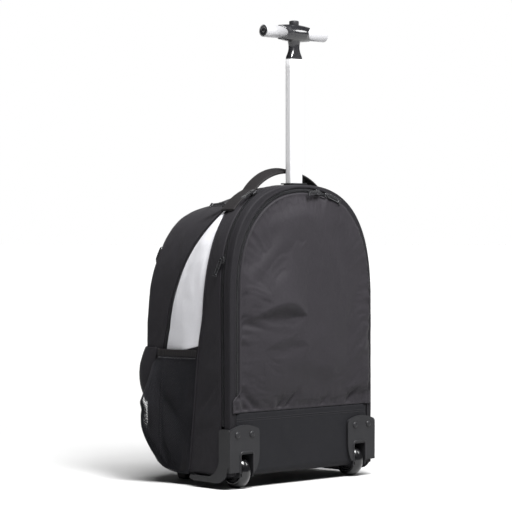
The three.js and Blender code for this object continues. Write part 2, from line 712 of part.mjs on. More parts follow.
function pullShape() {
  const tab = new THREE.Shape();
  const { length, neck, headLength } = PULL;
  const [half, halfHead] = [PULL.width / 2, PULL.head / 2];
  const halfOutline = [
    [0, half * 0.55],
    [neck, half],
    [length - headLength, half * 0.8],
    [length - headLength, halfHead],
    [length, halfHead],
  ];
  const flipped = halfOutline.map(([along, across]) => [along, -across]).reverse();
  tab.setFromPoints([...halfOutline, ...flipped].map(([along, across]) => new THREE.Vector2(along, across)));
  const body = toSolid(new THREE.ExtrudeGeometry(tab, { depth: PULL.thickness, bevelEnabled: false }));
  const recessHalf = half - PULL.rim;
  const recessLow = vec(neck + PULL.rim, -recessHalf, PULL.thickness - PULL.recess);
  const recessHigh = vec(length - headLength - PULL.rim, recessHalf, PULL.thickness + 1);
  return fromSolid(body.subtract(toSolid(boxBetween(recessLow, recessHigh))));
}

function placed(geometry, at, along, out) {
  const side = out.clone().cross(along).normalize();
  const run = side.clone().cross(out).normalize();
  const basis = new THREE.Matrix4().makeBasis(run, side, out.clone().normalize());
  return closed(geometry.clone().applyMatrix4(basis.setPosition(at)));
}

function addPull({ name, zip, share, towards, swing, tilt }) {
  const onBack = zip === "harness";
  const depth = onBack ? 0 : seamsAt(climbOf(share))[`${zip}Zip`];
  const inset = onBack ? seamsAt(climbOf(share)).harnessInset : 0;
  const out = onBack ? vec(0, -1, 0) : outlineNormal(share, depth);
  const step = 2e-3;
  const ahead = outlinePoint(share + step, depth, inset);
  const run = ahead.sub(outlinePoint(share - step, depth, inset)).normalize();
  const heading = towards === "up" ? run : run.clone().negate();
  const seat = outlinePoint(share, depth, inset).addScaledVector(out, ZIP.coil - ZIP.tape + SEAM_GAP);
  add(`zip_slider_${name}`, placed(sliderShape(), seat, heading, out), "pull");
  const turned = heading.clone().applyAxisAngle(out, degToRad(swing));
  const side = out.clone().cross(turned).normalize();
  const lean = turned.clone().applyAxisAngle(side, -degToRad(tilt));
  const leanOut = out.clone().applyAxisAngle(side, -degToRad(tilt));
  const root = seat.clone().addScaledVector(out, SLIDER.height + SEAM_GAP);
  root.addScaledVector(lean, -PULL.overlap);
  add(`zip_pull_${name}`, placed(pullShape(), root, lean, leanOut), "pull");
}
ZIP_PULLS.forEach(addPull);

// Cable port: a moulded patch on the left front shoulder
function cablePort() {
  const stations = evenly(4, PORT.from, PORT.to);
  const rows = PORT.turns.map(degToRad).map((a) => (s) => frontCornerPoint(s, a));
  return clothWall(stations, rows, PORT.thickness, PORT.thickness + SEAM_GAP);
}
add("cable_port", cablePort(), "rubber");

// Grab handle: webbing that leaves the main gusset on both shoulders and arches over the crown
function grabHandle() {
  const rearDepth = GRAB.depth - GRAB.width / 2;
  const onCloth = (share) =>
    outlinePoint(share, rearDepth)
      .addScaledVector(outlineNormal(share, rearDepth), SEAM_GAP + GRAB.thickness / 2)
      .setY(GRAB.depth);
  const root = evenly(3, GRAB.rootShare, GRAB.liftShare).map(onCloth);
  const lift = root.pop();
  const top = GRAB.crown - GRAB.thickness / 2;
  const radius = (lift.x ** 2 + (top - lift.z) ** 2) / (2 * (top - lift.z));
  const sweep = Math.asin(-lift.x / radius);
  const arc = evenly(16, -sweep, sweep).map((a) =>
    vec(radius * Math.sin(a), GRAB.depth, top - radius * (1 - Math.cos(a))));
  const path = [...root, ...arc, ...root.map((p) => p.clone().setX(-p.x)).reverse()];
  const places = path.map((at, i) => {
    const run = path[Math.min(i + 1, path.length - 1)].clone().sub(path[Math.max(i - 1, 0)]).normalize();
    const tilt = degToRad(GRAB.tilt) * Math.cos(((at.x / lift.x) * Math.PI) / 2);
    const across = vec(0, 1, 0).applyAxisAngle(run, Math.max(tilt, 0));
    return { at, across, out: run.cross(across).normalize() };
  });
  const [w, t] = [GRAB.width / 2, GRAB.thickness / 2];
  return strip(places, [[-w, -t], [w, -t], [w, t], [-w, t]]);
}
add("grab_handle", grabHandle(), "webbing");

// Socket of the telescoping handle: a guide tube down to the base with a collar on the crown
function handleSocket() {
  const column = toSolid(tubeColumn(WALL_FOOT, SOCKET.top + 1, socketGrow));
  const collarTop = SOCKET.top + SOCKET.flangeHeight;
  const collar = toSolid(tubeColumn(SOCKET.top, collarTop, socketGrow + SOCKET.flange));
  const bore = toSolid(tubeColumn(0, SOCKET.top + 20, SOCKET.play));
  return fromSolid(column.add(collar).subtract(bore));
}
add("handle_socket", handleSocket(), "plastic");

// Trolley tube, with a rivet set flush into its back face
const tubeBack = TUBE.depth - TUBE.thickness / 2;

function rivetDisc(radius, length) {
  const disc = new THREE.CylinderGeometry(radius, radius, length, RIVET.sides);
  return closed(disc.translate(0, tubeBack + TUBE.wall / 2, RIVET.z));
}

function trolleyTube() {
  const outside = toSolid(tubeColumn(TUBE.foot, TUBE.top, 0));
  const inside = toSolid(tubeColumn(TUBE.foot - 5, TUBE.top + 5, -TUBE.wall));
  const rivetHole = toSolid(rivetDisc(RIVET.radius + SEAM_GAP, 4 * TUBE.wall));
  return fromSolid(outside.subtract(inside).subtract(rivetHole));
}
add("trolley_tube", trolleyTube(), "aluminium");

add("tube_rivet", rivetDisc(RIVET.radius, TUBE.wall), "steel");

// Grip core: a barrel with scalloped ends that holds the sleeves, on a neck that sits on the tube
function gripCore() {
  const sides = 16;
  const ring = (reach, radius) =>
    Array.from({ length: sides }, (_, i) => {
      const angle = (i / sides) * 2 * Math.PI;
      const [y, z] = [Math.cos(angle), Math.sin(angle)];
      const end = BARREL.half - BARREL.scallop * y * y;
      const x = typeof reach === "number" ? reach : reach.share * end;
      return vec(x, TUBE.depth + radius(x) * y, GRIP_HEIGHT + radius(x) * z);
    });
  const swell = (x) => lerp(BARREL.radius, BARREL.endRadius, (x / BARREL.half) ** 2);
  const bore = () => BARREL.socketRadius;
  const shares = [-0.97, -0.75, -0.4, 0, 0.4, 0.75, 0.97];
  const rings = [
    ring(-BARREL.socketDepth, bore),
    ring({ share: -0.98 }, bore),
    ring({ share: -1 }, (x) => swell(x) - 0.6),
    ...shares.map((share) => ring({ share }, swell)),
    ring({ share: 1 }, (x) => swell(x) - 0.6),
    ring({ share: 0.98 }, bore),
    ring(BARREL.socketDepth, bore),
  ];
  const barrel = toSolid(loft(rings));
  const neck = toSolid(loft(NECK.map((row) => roundedRing(row, TUBE.depth))));
  const buttonBore = new THREE.CylinderGeometry(BUTTON.bore, BUTTON.bore, 30, 20);
  buttonBore.rotateX(Math.PI / 2).translate(0, TUBE.depth, BUTTON.boreFoot + 15);
  return fromSolid(barrel.add(neck).subtract(toSolid(buttonBore)));
}
add("grip_core", gripCore(), "gloss");

const gripAxis = vec(0, TUBE.depth, GRIP_HEIGHT);
const sleeveInner = SLEEVE.radius - SLEEVE.wall;
const sleeveProfile = [
  [BARREL.socketDepth + SEAM_GAP, sleeveInner],
  [BARREL.socketDepth + SEAM_GAP, SLEEVE.radius],
  [SLEEVE.reach - 0.8, SLEEVE.radius],
  [SLEEVE.reach, SLEEVE.radius - 0.6],
  [SLEEVE.reach, sleeveInner],
  [BARREL.socketDepth + SEAM_GAP, sleeveInner],
];
addPair("grip_sleeve", turnedOnX(sleeveProfile, 20, gripAxis), "aluminium");
const plugRadius = sleeveInner - 0.3;
const plugProfile = [
  [SLEEVE.reach - 14, 0],
  [SLEEVE.reach - 14, plugRadius],
  [SLEEVE.reach - 0.3, plugRadius],
  [SLEEVE.reach + 0.5, plugRadius - 1.2],
  [SLEEVE.reach + 0.5, 0],
];
addPair("grip_plug", turnedOnX(plugProfile, 16, gripAxis), "gloss");

const buttonProfile = [
  [BUTTON.foot, 0],
  [BUTTON.foot, BUTTON.radius],
  [BUTTON.top - 1.6, BUTTON.radius],
  [BUTTON.top - 0.4, BUTTON.radius - 1.4],
  [BUTTON.top, BUTTON.radius - 4],
  [BUTTON.top, 0],
];
const button = turnedOnX(buttonProfile, 16, vec(0, 0, 0));
button.rotateY(-Math.PI / 2).translate(0, TUBE.depth, 0);
add("release_button", closed(button), "plastic");

// Wheels on their axles
const wheelCentre = vec(WHEEL.x, WHEEL.depth, WHEEL.radius);
const halfTread = WHEEL.width / 2;
const treadRound = [-60, -30, 0, 30, 60].map(degToRad).map((a) => [
  halfTread * Math.sin(a) * 0.98,
  WHEEL.radius - WHEEL.tread * (1 - Math.cos(a)),
]);
const tyreProfile = [
  [-halfTread, WHEEL.hubRadius + SEAM_GAP],
  [-halfTread, WHEEL.radius - WHEEL.tread + 1],
  ...treadRound,
  [halfTread, WHEEL.radius - WHEEL.tread + 1],
  [halfTread, WHEEL.hubRadius + SEAM_GAP],
  [-halfTread, WHEEL.hubRadius + SEAM_GAP],
];
addPair("tyre", turnedOnX(tyreProfile, 24, wheelCentre), "rubber");
const halfHub = WHEEL.hubWidth / 2;
const hubProfile = [
  [-halfHub - HUB_BOSS.height, WHEEL.axle + SEAM_GAP],
  [-halfHub - HUB_BOSS.height, WHEEL.axle + HUB_BOSS.tip],
  [-halfHub, WHEEL.axle + HUB_BOSS.foot],
  [-halfHub, WHEEL.hubRadius],
  [halfHub, WHEEL.hubRadius],
  [halfHub, WHEEL.axle + HUB_BOSS.foot],
  [halfHub + HUB_BOSS.height, WHEEL.axle + HUB_BOSS.tip],
  [halfHub + HUB_BOSS.height, WHEEL.axle + SEAM_GAP],
  [-halfHub - HUB_BOSS.height, WHEEL.axle + SEAM_GAP],
];
addPair("wheel_hub", turnedOnX(hubProfile, 16, wheelCentre), "plastic");
const axleHalf = WHEEL.width / 2 + HOUSING.wheelRoom - 0.3;
const axleProfile = [[-axleHalf, 0], [-axleHalf, WHEEL.axle], [axleHalf, WHEEL.axle], [axleHalf, 0]];
addPair("axle", turnedOnX(axleProfile, 12, wheelCentre), "steel");

// Wheel housings: back plate, side arm and skid round a well that is open at the back and below
function housingSide() {
  const { back, top, armDepth, skidDepth, skidTop, skidFoot, fillet, corner, heelRise } = HOUSING;
  const outline = new THREE.Shape();
  outline.moveTo(back, top - corner);
  outline.absarc(back + corner, top - corner, corner, Math.PI, Math.PI / 2, true);
  outline.absarc(armDepth - corner, top - corner, corner, Math.PI / 2, 0, true);
  outline.absarc(armDepth + fillet, skidTop + fillet, fillet, Math.PI, 1.5 * Math.PI, false);
  outline.lineTo(skidDepth - 2, skidTop);
  outline.lineTo(skidDepth, skidTop - 5);
  outline.lineTo(skidDepth - 4, skidFoot + 2);
  outline.lineTo(armDepth + 14, skidFoot);
  outline.lineTo(26, skidFoot);
  outline.quadraticCurveTo(4, skidFoot + 2, back, skidFoot + heelRise);
  outline.closePath();
  return outline;
}

function housingBack() {
  const { inner, outer, top, crownTop, corner, plateFoot } = HOUSING;
  const plate = new THREE.Shape();
  plate.moveTo(outer, plateFoot);
  plate.lineTo(outer, top - corner);
  plate.quadraticCurveTo(outer, top, outer - 7, top + 1.5);
  plate.quadraticCurveTo((inner + outer) / 2, crownTop + 5, inner + 6, top + 1);
  plate.quadraticCurveTo(inner, top, inner, top - 8);
  plate.lineTo(inner, 2 * plateFoot);
  plate.quadraticCurveTo(inner + 1, plateFoot + 10, inner + 9, plateFoot);
  plate.closePath();
  return plate;
}

function wheelHousing() {
  const { outer, back, skidTop, skidFoot, skidDepth, wall, wheelRoom } = HOUSING;
  const clear = BACK_HALF_WIDTH + SEAM_GAP;
  const room = WHEEL.radius + wheelRoom;
  const cavityInner = wheelWell.inner + wall;
  const cavityOuter = wheelWell.outer - wall;
  let body = toSolid(sweptAlongX(housingSide(), clear, outer));
  body = body.add(toSolid(sweptAlongY(housingBack(), back, -SEAM_GAP)));
  const skidLow = vec(wheelWell.inner, WHEEL.depth + 10, skidFoot);
  const skidHigh = vec(clear + 1, skidDepth - HOUSING.corner, skidTop);
  body = body.add(toSolid(boxBetween(skidLow, skidHigh)));
  const wellSide = new THREE.Shape();
  wellSide.moveTo(back + 1, skidTop);
  wellSide.lineTo(wheelWell.depth, skidTop);
  wellSide.lineTo(wheelWell.depth, WHEEL.radius);
  wellSide.absarc(WHEEL.depth, WHEEL.radius, room + wall, 0, Math.PI / 2, false);
  wellSide.lineTo(back + 1, WHEEL.radius + room + wall);
  wellSide.closePath();
  body = body.add(toSolid(sweptAlongX(wellSide, wheelWell.inner, wheelWell.outer)));
  const cavity = new THREE.Shape();
  cavity.moveTo(-40, -10);
  cavity.lineTo(WHEEL.depth + room, -10);
  cavity.lineTo(WHEEL.depth + room, WHEEL.radius);
  cavity.absarc(WHEEL.depth, WHEEL.radius, room, 0, Math.PI / 2, false);
  cavity.lineTo(-40, WHEEL.radius + room);
  cavity.closePath();
  return fromSolid(body.subtract(toSolid(sweptAlongX(cavity, cavityInner, cavityOuter))));
}
addPair("wheel_housing", wheelHousing(), "plastic");

BOLT.x.forEach((x, i) => {
  const profile = [
    [0, 0],
    [0, BOLT.radius],
    [BOLT.height * 0.5, BOLT.radius * 0.9],
    [BOLT.height, BOLT.radius * 0.45],
    [BOLT.height, 0],
  ];
  const bolt = turnedOnX(profile, 12, vec(0, 0, 0));
  bolt.rotateZ(-Math.PI / 2).translate(x, HOUSING.back - SEAM_GAP, BOLT.z);
  addPair(`housing_bolt_${i + 1}`, closed(bolt), "plastic");
});

// Front feet, hollowed on top to sit against the toe of the base
function frontFoot() {
  const ring = (width, length, z) =>
    roundedRing({ width, thickness: length, corner: Math.min(width, length) * 0.3, z }, FOOT.depth)
      .map((p) => p.setX(p.x + FOOT.x));
  const block = toSolid(
    loft([
      ring(FOOT.soleWidth - 2 * FOOT.soleRound, FOOT.soleDepth - 2 * FOOT.soleRound, 0),
      ring(FOOT.soleWidth, FOOT.soleDepth, FOOT.soleRound),
      ring(FOOT.topWidth, FOOT.topDepth, FOOT.flareTop),
      ring(FOOT.topWidth, FOOT.topDepth, FOOT.top),
    ]),
  );
  const toeRadius = TOE.height - baseOuter + SEAM_GAP;
  const toe = new THREE.CylinderGeometry(toeRadius, toeRadius, 120, 96);
  toe.rotateZ(Math.PI / 2).translate(FOOT.x, TOE.depth, TOE.height);
  return fromSolid(block.subtract(toSolid(toe)));
}
addPair("front_foot", frontFoot(), "rubber");

backpack.position.y = -CENTRE_DEPTH;
backpack.updateMatrixWorld(true);

export default backpack;
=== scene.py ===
# Wheeled laptop backpack: its looks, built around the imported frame, in metres with +Z up
import math

import bmesh
import bpy
from mathutils import Matrix, Vector, noise


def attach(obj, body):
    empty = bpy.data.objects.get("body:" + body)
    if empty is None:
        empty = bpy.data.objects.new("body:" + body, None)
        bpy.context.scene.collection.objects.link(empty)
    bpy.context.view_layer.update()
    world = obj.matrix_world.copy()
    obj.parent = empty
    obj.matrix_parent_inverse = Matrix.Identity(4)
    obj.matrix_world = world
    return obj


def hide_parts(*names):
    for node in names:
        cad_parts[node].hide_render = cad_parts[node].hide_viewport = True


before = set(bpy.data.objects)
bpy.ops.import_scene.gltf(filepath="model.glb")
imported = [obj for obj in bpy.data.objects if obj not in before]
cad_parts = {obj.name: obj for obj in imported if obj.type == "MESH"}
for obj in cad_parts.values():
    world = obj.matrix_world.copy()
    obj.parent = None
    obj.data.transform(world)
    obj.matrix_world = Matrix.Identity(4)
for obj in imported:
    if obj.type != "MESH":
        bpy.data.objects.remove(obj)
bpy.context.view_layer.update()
mm = 0.001
bothSides = ((-1, "left"), (1, "right"))

# the sewn shell, in millimetres: depths run from the plane of the back to the front
shell = {
    "centreDepth": 112.94, "halfWidth": 162, "wallFoot": 22.5, "springShare": 0.47,
    "backCorner": 6, "frontDepth": 215.5, "frontCorner": 19, "baseSeam": 122, "halfZip": 3.9,
    "toeDepth": 120, "toeHeight": 120.7, "toeRadius": 98.2, "wedgeTip": 0.788, "seamGap": 0.4, "sewGap": 0.2,
}
outlineRows = [
    {"depth": 0, "half": 165, "spring": 290, "rise": 200, "power": 2.6},
    {"depth": 28, "half": 165, "spring": 290, "rise": 200, "power": 2.6},
    {"depth": 66, "half": 162, "spring": 279, "rise": 205, "power": 2.6},
    {"depth": 135, "half": 162, "spring": 258, "rise": 211, "power": 2.5},
    {"depth": 215.5, "half": 162, "spring": 236, "rise": 219, "power": 2.4},
]
# seams by their climb along the outline: the harness zip's inset from the edge, and the other seams' depths
seamRows = [
    {"climb": 0, "harnessInset": 17, "laptopZip": 16, "gusset": 98, "frontZip": 170},
    {"climb": 0.2, "harnessInset": 17, "laptopZip": 16, "gusset": 86.5, "frontZip": 168.5},
    {"climb": 0.36, "harnessInset": 17, "laptopZip": 17, "gusset": 77, "frontZip": 163},
    {"climb": 0.47, "harnessInset": 17, "laptopZip": 18, "gusset": 65, "frontZip": 152},
    {"climb": 0.58, "harnessInset": 16.5, "laptopZip": 19, "gusset": 57, "frontZip": 128},
    {"climb": 0.64, "harnessInset": 17, "laptopZip": 19, "gusset": 55.5, "frontZip": 111},
    {"climb": 0.71, "harnessInset": 17.5, "laptopZip": 18.5, "gusset": 54.5, "frontZip": 87},
    {"climb": 0.76, "harnessInset": 17.5, "laptopZip": 18.5, "gusset": 58, "frontZip": 72},
    {"climb": 0.81, "harnessInset": 16.5, "laptopZip": 19, "gusset": 63.5, "frontZip": 68.5},
    {"climb": 0.86, "harnessInset": 15, "laptopZip": 22.5, "gusset": 64, "frontZip": 68},
    {"climb": 0.92, "harnessInset": 12.5, "laptopZip": 31, "gusset": 64, "frontZip": 68},
    {"climb": 1, "harnessInset": 9.2, "laptopZip": 41, "gusset": 64, "frontZip": 68},
]

# camera at the photograph's angle
shot = {
    "azimuth": 43.8, "distance": 3.47, "aside": -0.0772, "height": 0.405, "lens": 148.4, "pitch": 0.53,
    "sensor": 36, "clipEnd": 100,
}


def makeCamera():
    turn = math.radians(shot["azimuth"])
    forward = Vector((math.sin(turn), math.cos(turn), 0))
    right = Vector((math.cos(turn), -math.sin(turn), 0))
    lens = bpy.data.cameras.new("camera")
    lens.sensor_width = shot["sensor"]
    lens.lens = shot["lens"]
    lens.clip_end = shot["clipEnd"]
    camera = bpy.data.objects.new("camera", lens)
    origin = Vector((0, -shell["centreDepth"] * mm, shot["height"]))
    camera.location = origin + right * shot["aside"] - forward * shot["distance"]
    camera.rotation_euler = (math.radians(90 - shot["pitch"]), 0, -turn)
    bpy.context.scene.collection.objects.link(camera)
    bpy.context.scene.camera = camera


makeCamera()
print("camera set")


# shared shader effects, each a node group placed in several materials
def newGroup(name, inputs, outputs):
    group = bpy.data.node_groups.new(name, "ShaderNodeTree")
    for label, kind, value in inputs:
        socket = group.interface.new_socket(label, in_out="INPUT", socket_type=f"NodeSocket{kind}")
        if value is not None:
            socket.default_value = value
    for label, kind in outputs:
        group.interface.new_socket(label, in_out="OUTPUT", socket_type=f"NodeSocket{kind}")
    start = group.nodes.new("NodeGroupInput")
    end = group.nodes.new("NodeGroupOutput")
    return group, start.outputs, end.inputs


def addNode(tree, kind, links=(), **settings):
    node = tree.nodes.new(kind)
    for key, value in settings.items():
        setattr(node, key, value)
    for key, source in dict(links).items():
        if isinstance(source, bpy.types.NodeSocket):
            tree.links.new(source, node.inputs[key])
        else:
            node.inputs[key].default_value = source
    return node


def doMath(tree, operation, first, second=0.0):
    return addNode(tree, "ShaderNodeMath", {0: first, 1: second}, operation=operation).outputs[0]


def mixColours(tree, share, first, second):
    node = addNode(tree, "ShaderNodeMix", {0: share, 6: first, 7: second}, data_type="RGBA")
    return node.outputs[2]


weave = {"threads": 900, "cloud": 6, "slub": 260, "threadTone": 0.4, "roughSpread": 0.22, "smoothest": 0.5}


def makeWeave():
    group, given, out = newGroup(
        "weave",
        [("Vector", "Vector", None), ("Threads", "Float", weave["threads"]), ("Dark", "Color", (0, 0, 0, 1)),
         ("Light", "Color", (1, 1, 1, 1)), ("Cloud", "Float", weave["cloud"])],
        [("Colour", "Color"), ("Height", "Float"), ("Roughness", "Float")],
    )
    parts = addNode(group, "ShaderNodeSeparateXYZ", {0: given["Vector"]})
    waves = []
    for axis in ("X", "Y"):
        turns = doMath(group, "MULTIPLY", parts.outputs[axis], given["Threads"])
        waves.append(doMath(group, "SINE", doMath(group, "MULTIPLY", turns, 2 * math.pi)))
    crossing = doMath(group, "MULTIPLY", waves[0], waves[1])
    height = doMath(group, "MULTIPLY_ADD", crossing, 0.5)
    height.node.inputs[2].default_value = 0.5
    spot = given["Vector"]
    cloud = addNode(group, "ShaderNodeTexNoise", {"Vector": spot, "Scale": given["Cloud"], "Detail": 4})
    slub = addNode(group, "ShaderNodeTexNoise", {"Vector": spot, "Scale": weave["slub"], "Detail": 2})
    share = doMath(group, "MULTIPLY_ADD", height, weave["threadTone"])
    group.links.new(doMath(group, "MULTIPLY", cloud.outputs[0], slub.outputs[0]), share.node.inputs[2])
    colour = mixColours(group, share, given["Dark"], given["Light"])
    rough = doMath(group, "MULTIPLY_ADD", cloud.outputs[0], weave["roughSpread"])
    rough.node.inputs[2].default_value = weave["smoothest"]
    group.links.new(colour, out["Colour"])
    group.links.new(height, out["Height"])
    group.links.new(rough, out["Roughness"])
    return group


mould = {
    "scale": 900, "dustHeight": 0.03, "smear": 40, "tone": 0.5, "dust": 0.5,
    "roughSpread": 0.2, "smoothest": 0.28,
}


def makeGrain():
    group, given, out = newGroup(
        "moulded_grain",
        [("Vector", "Vector", None), ("Scale", "Float", mould["scale"]), ("Dark", "Color", (0, 0, 0, 1)),
         ("Light", "Color", (1, 1, 1, 1)), ("Dust Height", "Float", mould["dustHeight"]),
         ("Smoothest", "Float", mould["smoothest"])],
        [("Colour", "Color"), ("Height", "Float"), ("Roughness", "Float")],
    )
    spot = given["Vector"]
    pits = addNode(group, "ShaderNodeTexVoronoi", {"Vector": spot, "Scale": given["Scale"]})
    smear = addNode(group, "ShaderNodeTexNoise", {"Vector": spot, "Scale": mould["smear"], "Detail": 5})
    parts = addNode(group, "ShaderNodeSeparateXYZ", {0: given["Vector"]})
    low = doMath(group, "SUBTRACT", 1.0, doMath(group, "DIVIDE", parts.outputs["Z"], given["Dust Height"]))
    dust = addNode(group, "ShaderNodeClamp", {0: low}).outputs[0]
    dusty = doMath(group, "MULTIPLY", dust, smear.outputs[0])
    share = doMath(group, "MULTIPLY_ADD", smear.outputs[0], mould["tone"])
    group.links.new(doMath(group, "MULTIPLY", dusty, mould["dust"]), share.node.inputs[2])
    rough = doMath(group, "MULTIPLY_ADD", smear.outputs[0], mould["roughSpread"])
    group.links.new(given["Smoothest"], rough.node.inputs[2])
    group.links.new(mixColours(group, share, given["Dark"], given["Light"]), out["Colour"])
    group.links.new(pits.outputs["Distance"], out["Height"])
    group.links.new(rough, out["Roughness"])
    return group


weaveGroup = makeWeave()
grainGroup = makeGrain()


def newMaterial(name):
    material = bpy.data.materials.new(name)
    material.use_nodes = True
    return material, material.node_tree, material.node_tree.nodes["Principled BSDF"]


def tint(colour):
    return (*colour, 1)


# soft studio light on a pale floor, before a lit white backdrop
studio = {
    "worldTones": (0.03, 1.0), "worldSpan": (0.75, 0.97),  # dark all round, lit behind the bag
    # painted light: the floor is paler away from the bag, making up for the lamps' light that falls off there;
    # near the bag it is darker and bounces less light onto it
    "floorTones": (0.46, 0.68), "floorSpan": (0.9, 3.2), "floorSize": 600,  # paler away from the bag
}
lamps = [
    {"name": "sky", "kind": "SUN", "at": (-0.25, -0.9, 2.85), "aim": (0, 0, 0), "size": 0.8, "power": 5.5},
    {
        "name": "key", "kind": "AREA", "at": (-0.25, -0.8, 1.3), "aim": (0, -0.1, 0.35),
        "size": 0.5, "power": 35.5,
    },
    {"name": "right", "kind": "AREA", "at": (1.3, -1.2, 1.4), "aim": (0, 0, 0.45), "size": 0.5, "power": 9},
]


def spreadOver(tree, value, span, tones):
    links = {"Value": value, "From Min": span[0], "From Max": span[1], "To Min": tones[0], "To Max": tones[1]}
    return addNode(tree, "ShaderNodeMapRange", links).outputs[0]


def makeBackdrop():
    world = bpy.data.worlds.new("studio")
    world.use_nodes = True
    tree = world.node_tree
    sky = tree.nodes["Background"].inputs
    sky["Color"].default_value = (1, 1, 1, 1)
    turn = math.radians(shot["azimuth"])
    place = addNode(tree, "ShaderNodeTexCoord")
    ahead = {0: place.outputs["Generated"], 1: (math.sin(turn), math.cos(turn), 0)}
    facing = addNode(tree, "ShaderNodeVectorMath", ahead, operation="DOT_PRODUCT")
    glow = spreadOver(tree, facing.outputs["Value"], studio["worldSpan"], studio["worldTones"])
    tree.links.new(glow, sky["Strength"])
    bpy.context.scene.world = world


def makeLamps():
    for row in lamps:
        light = bpy.data.lights.new(row["name"], row["kind"])
        light.energy = row["power"]
        if row["kind"] == "SUN":
            light.angle = row["size"]
        else:
            light.shape = "DISK"
            light.size = row["size"]
        lamp = bpy.data.objects.new(row["name"], light)
        lamp.location = row["at"]
        lamp.visible_camera = False
        aim = Vector(row["aim"]) - Vector(row["at"])
        lamp.rotation_euler = aim.to_track_quat("-Z", "Y").to_euler()
        bpy.context.scene.collection.objects.link(lamp)


def makeFloor():
    bm = bmesh.new()
    bmesh.ops.create_grid(bm, x_segments=1, y_segments=1, size=studio["floorSize"] / 2)
    mesh = bpy.data.meshes.new("floor")
    bm.to_mesh(mesh)
    bm.free()
    floor = bpy.data.objects.new("floor", mesh)
    bpy.context.scene.collection.objects.link(floor)
    paper, tree, shader = newMaterial("pale_floor")
    spot = addNode(tree, "ShaderNodeTexCoord").outputs["Object"]
    away = addNode(tree, "ShaderNodeVectorMath", {0: spot}, operation="LENGTH")
    # painted light: the floor's tone rises with its distance from the bag, making up for the lamps' falling
    # light far off
    tone = spreadOver(tree, away.outputs["Value"], studio["floorSpan"], studio["floorTones"])
    tree.links.new(tone, shader.inputs["Base Color"])
    shader.inputs["Roughness"].default_value = 1
    shader.inputs["Specular IOR Level"].default_value = 0
    mesh.materials.append(paper)


bpy.context.scene.view_settings.view_transform = "Standard"
makeBackdrop()
makeLamps()
makeFloor()
print("studio set")

# finishes that several materials share
finish = {
    "sheenRoughness": 0.5, "weaveDepth": 0.0003, "grainDepth": 0.0002, "coatRoughness": 0.08,
    "mouldGloss": 0.25, "metallic": 0.4, "streakDark": 0.86, "streakSpread": 0.16,
}


def dressShader(tree, shader, effect, bump, distance):
    bumps = {"Height": effect.outputs["Height"], "Strength": bump, "Distance": distance}
    relief = addNode(tree, "ShaderNodeBump", bumps)
    tree.links.new(effect.outputs["Colour"], shader.inputs["Base Color"])
    tree.links.new(effect.outputs["Roughness"], shader.inputs["Roughness"])
    tree.links.new(relief.outputs[0], shader.inputs["Normal"])


def clothMaterial(name, dark, light, threads, sheen, bump=0.35, gloss=0.08):
    material, tree, shader = newMaterial(name)
    uv = addNode(tree, "ShaderNodeUVMap", uv_map="cloth")
    effect = addNode(tree, "ShaderNodeGroup", node_tree=weaveGroup)
    tree.links.new(uv.outputs[0], effect.inputs["Vector"])
    effect.inputs["Threads"].default_value = threads
    effect.inputs["Dark"].default_value = tint(dark)
    effect.inputs["Light"].default_value = tint(light)
    shader.inputs["Sheen Weight"].default_value = sheen
    shader.inputs["Sheen Roughness"].default_value = finish["sheenRoughness"]
    shader.inputs["Specular IOR Level"].default_value = gloss
    dressShader(tree, shader, effect, bump, finish["weaveDepth"])
    return material


def mouldedMaterial(name, dark, light, scale, bump, smoothest=0.34, coat=0.0, metallic=0.0):
    material, tree, shader = newMaterial(name)
    place = addNode(tree, "ShaderNodeTexCoord")
    effect = addNode(tree, "ShaderNodeGroup", node_tree=grainGroup)
    tree.links.new(place.outputs["Object"], effect.inputs["Vector"])
    effect.inputs["Scale"].default_value = scale
    effect.inputs["Dark"].default_value = tint(dark)
    effect.inputs["Light"].default_value = tint(light)
    effect.inputs["Smoothest"].default_value = smoothest
    shader.inputs["Metallic"].default_value = metallic
    shader.inputs["Coat Weight"].default_value = coat
    shader.inputs["Coat Roughness"].default_value = finish["coatRoughness"]
    shader.inputs["Specular IOR Level"].default_value = finish["mouldGloss"]
    dressShader(tree, shader, effect, bump, finish["grainDepth"])
    return material


def drawnMetal(name, tone, roughness, streaks):
    material, tree, shader = newMaterial(name)
    place = addNode(tree, "ShaderNodeTexCoord")
    stretch = addNode(tree, "ShaderNodeMapping", {"Vector": place.outputs["Object"], "Scale": streaks})
    grain = addNode(tree, "ShaderNodeTexNoise", {"Vector": stretch.outputs[0], "Scale": 1, "Detail": 6})
    rough = doMath(tree, "MULTIPLY_ADD", grain.outputs[0], finish["streakSpread"])
    rough.node.inputs[2].default_value = roughness
    shader.inputs["Metallic"].default_value = finish["metallic"]
    dark = tint([finish["streakDark"] * part for part in tone])
    tree.links.new(mixColours(tree, grain.outputs[0], dark, tint(tone)), shader.inputs["Base Color"])
    tree.links.new(rough, shader.inputs["Roughness"])
    return material


nylon = clothMaterial("charcoal_nylon", (0.0077, 0.0072, 0.0086), (0.0211, 0.0196, 0.0229), 1100, 0.02)
edgeNylon = clothMaterial("edge_nylon", (0.0051, 0.0048, 0.0058), (0.0145, 0.0136, 0.016), 1100, 0.02)
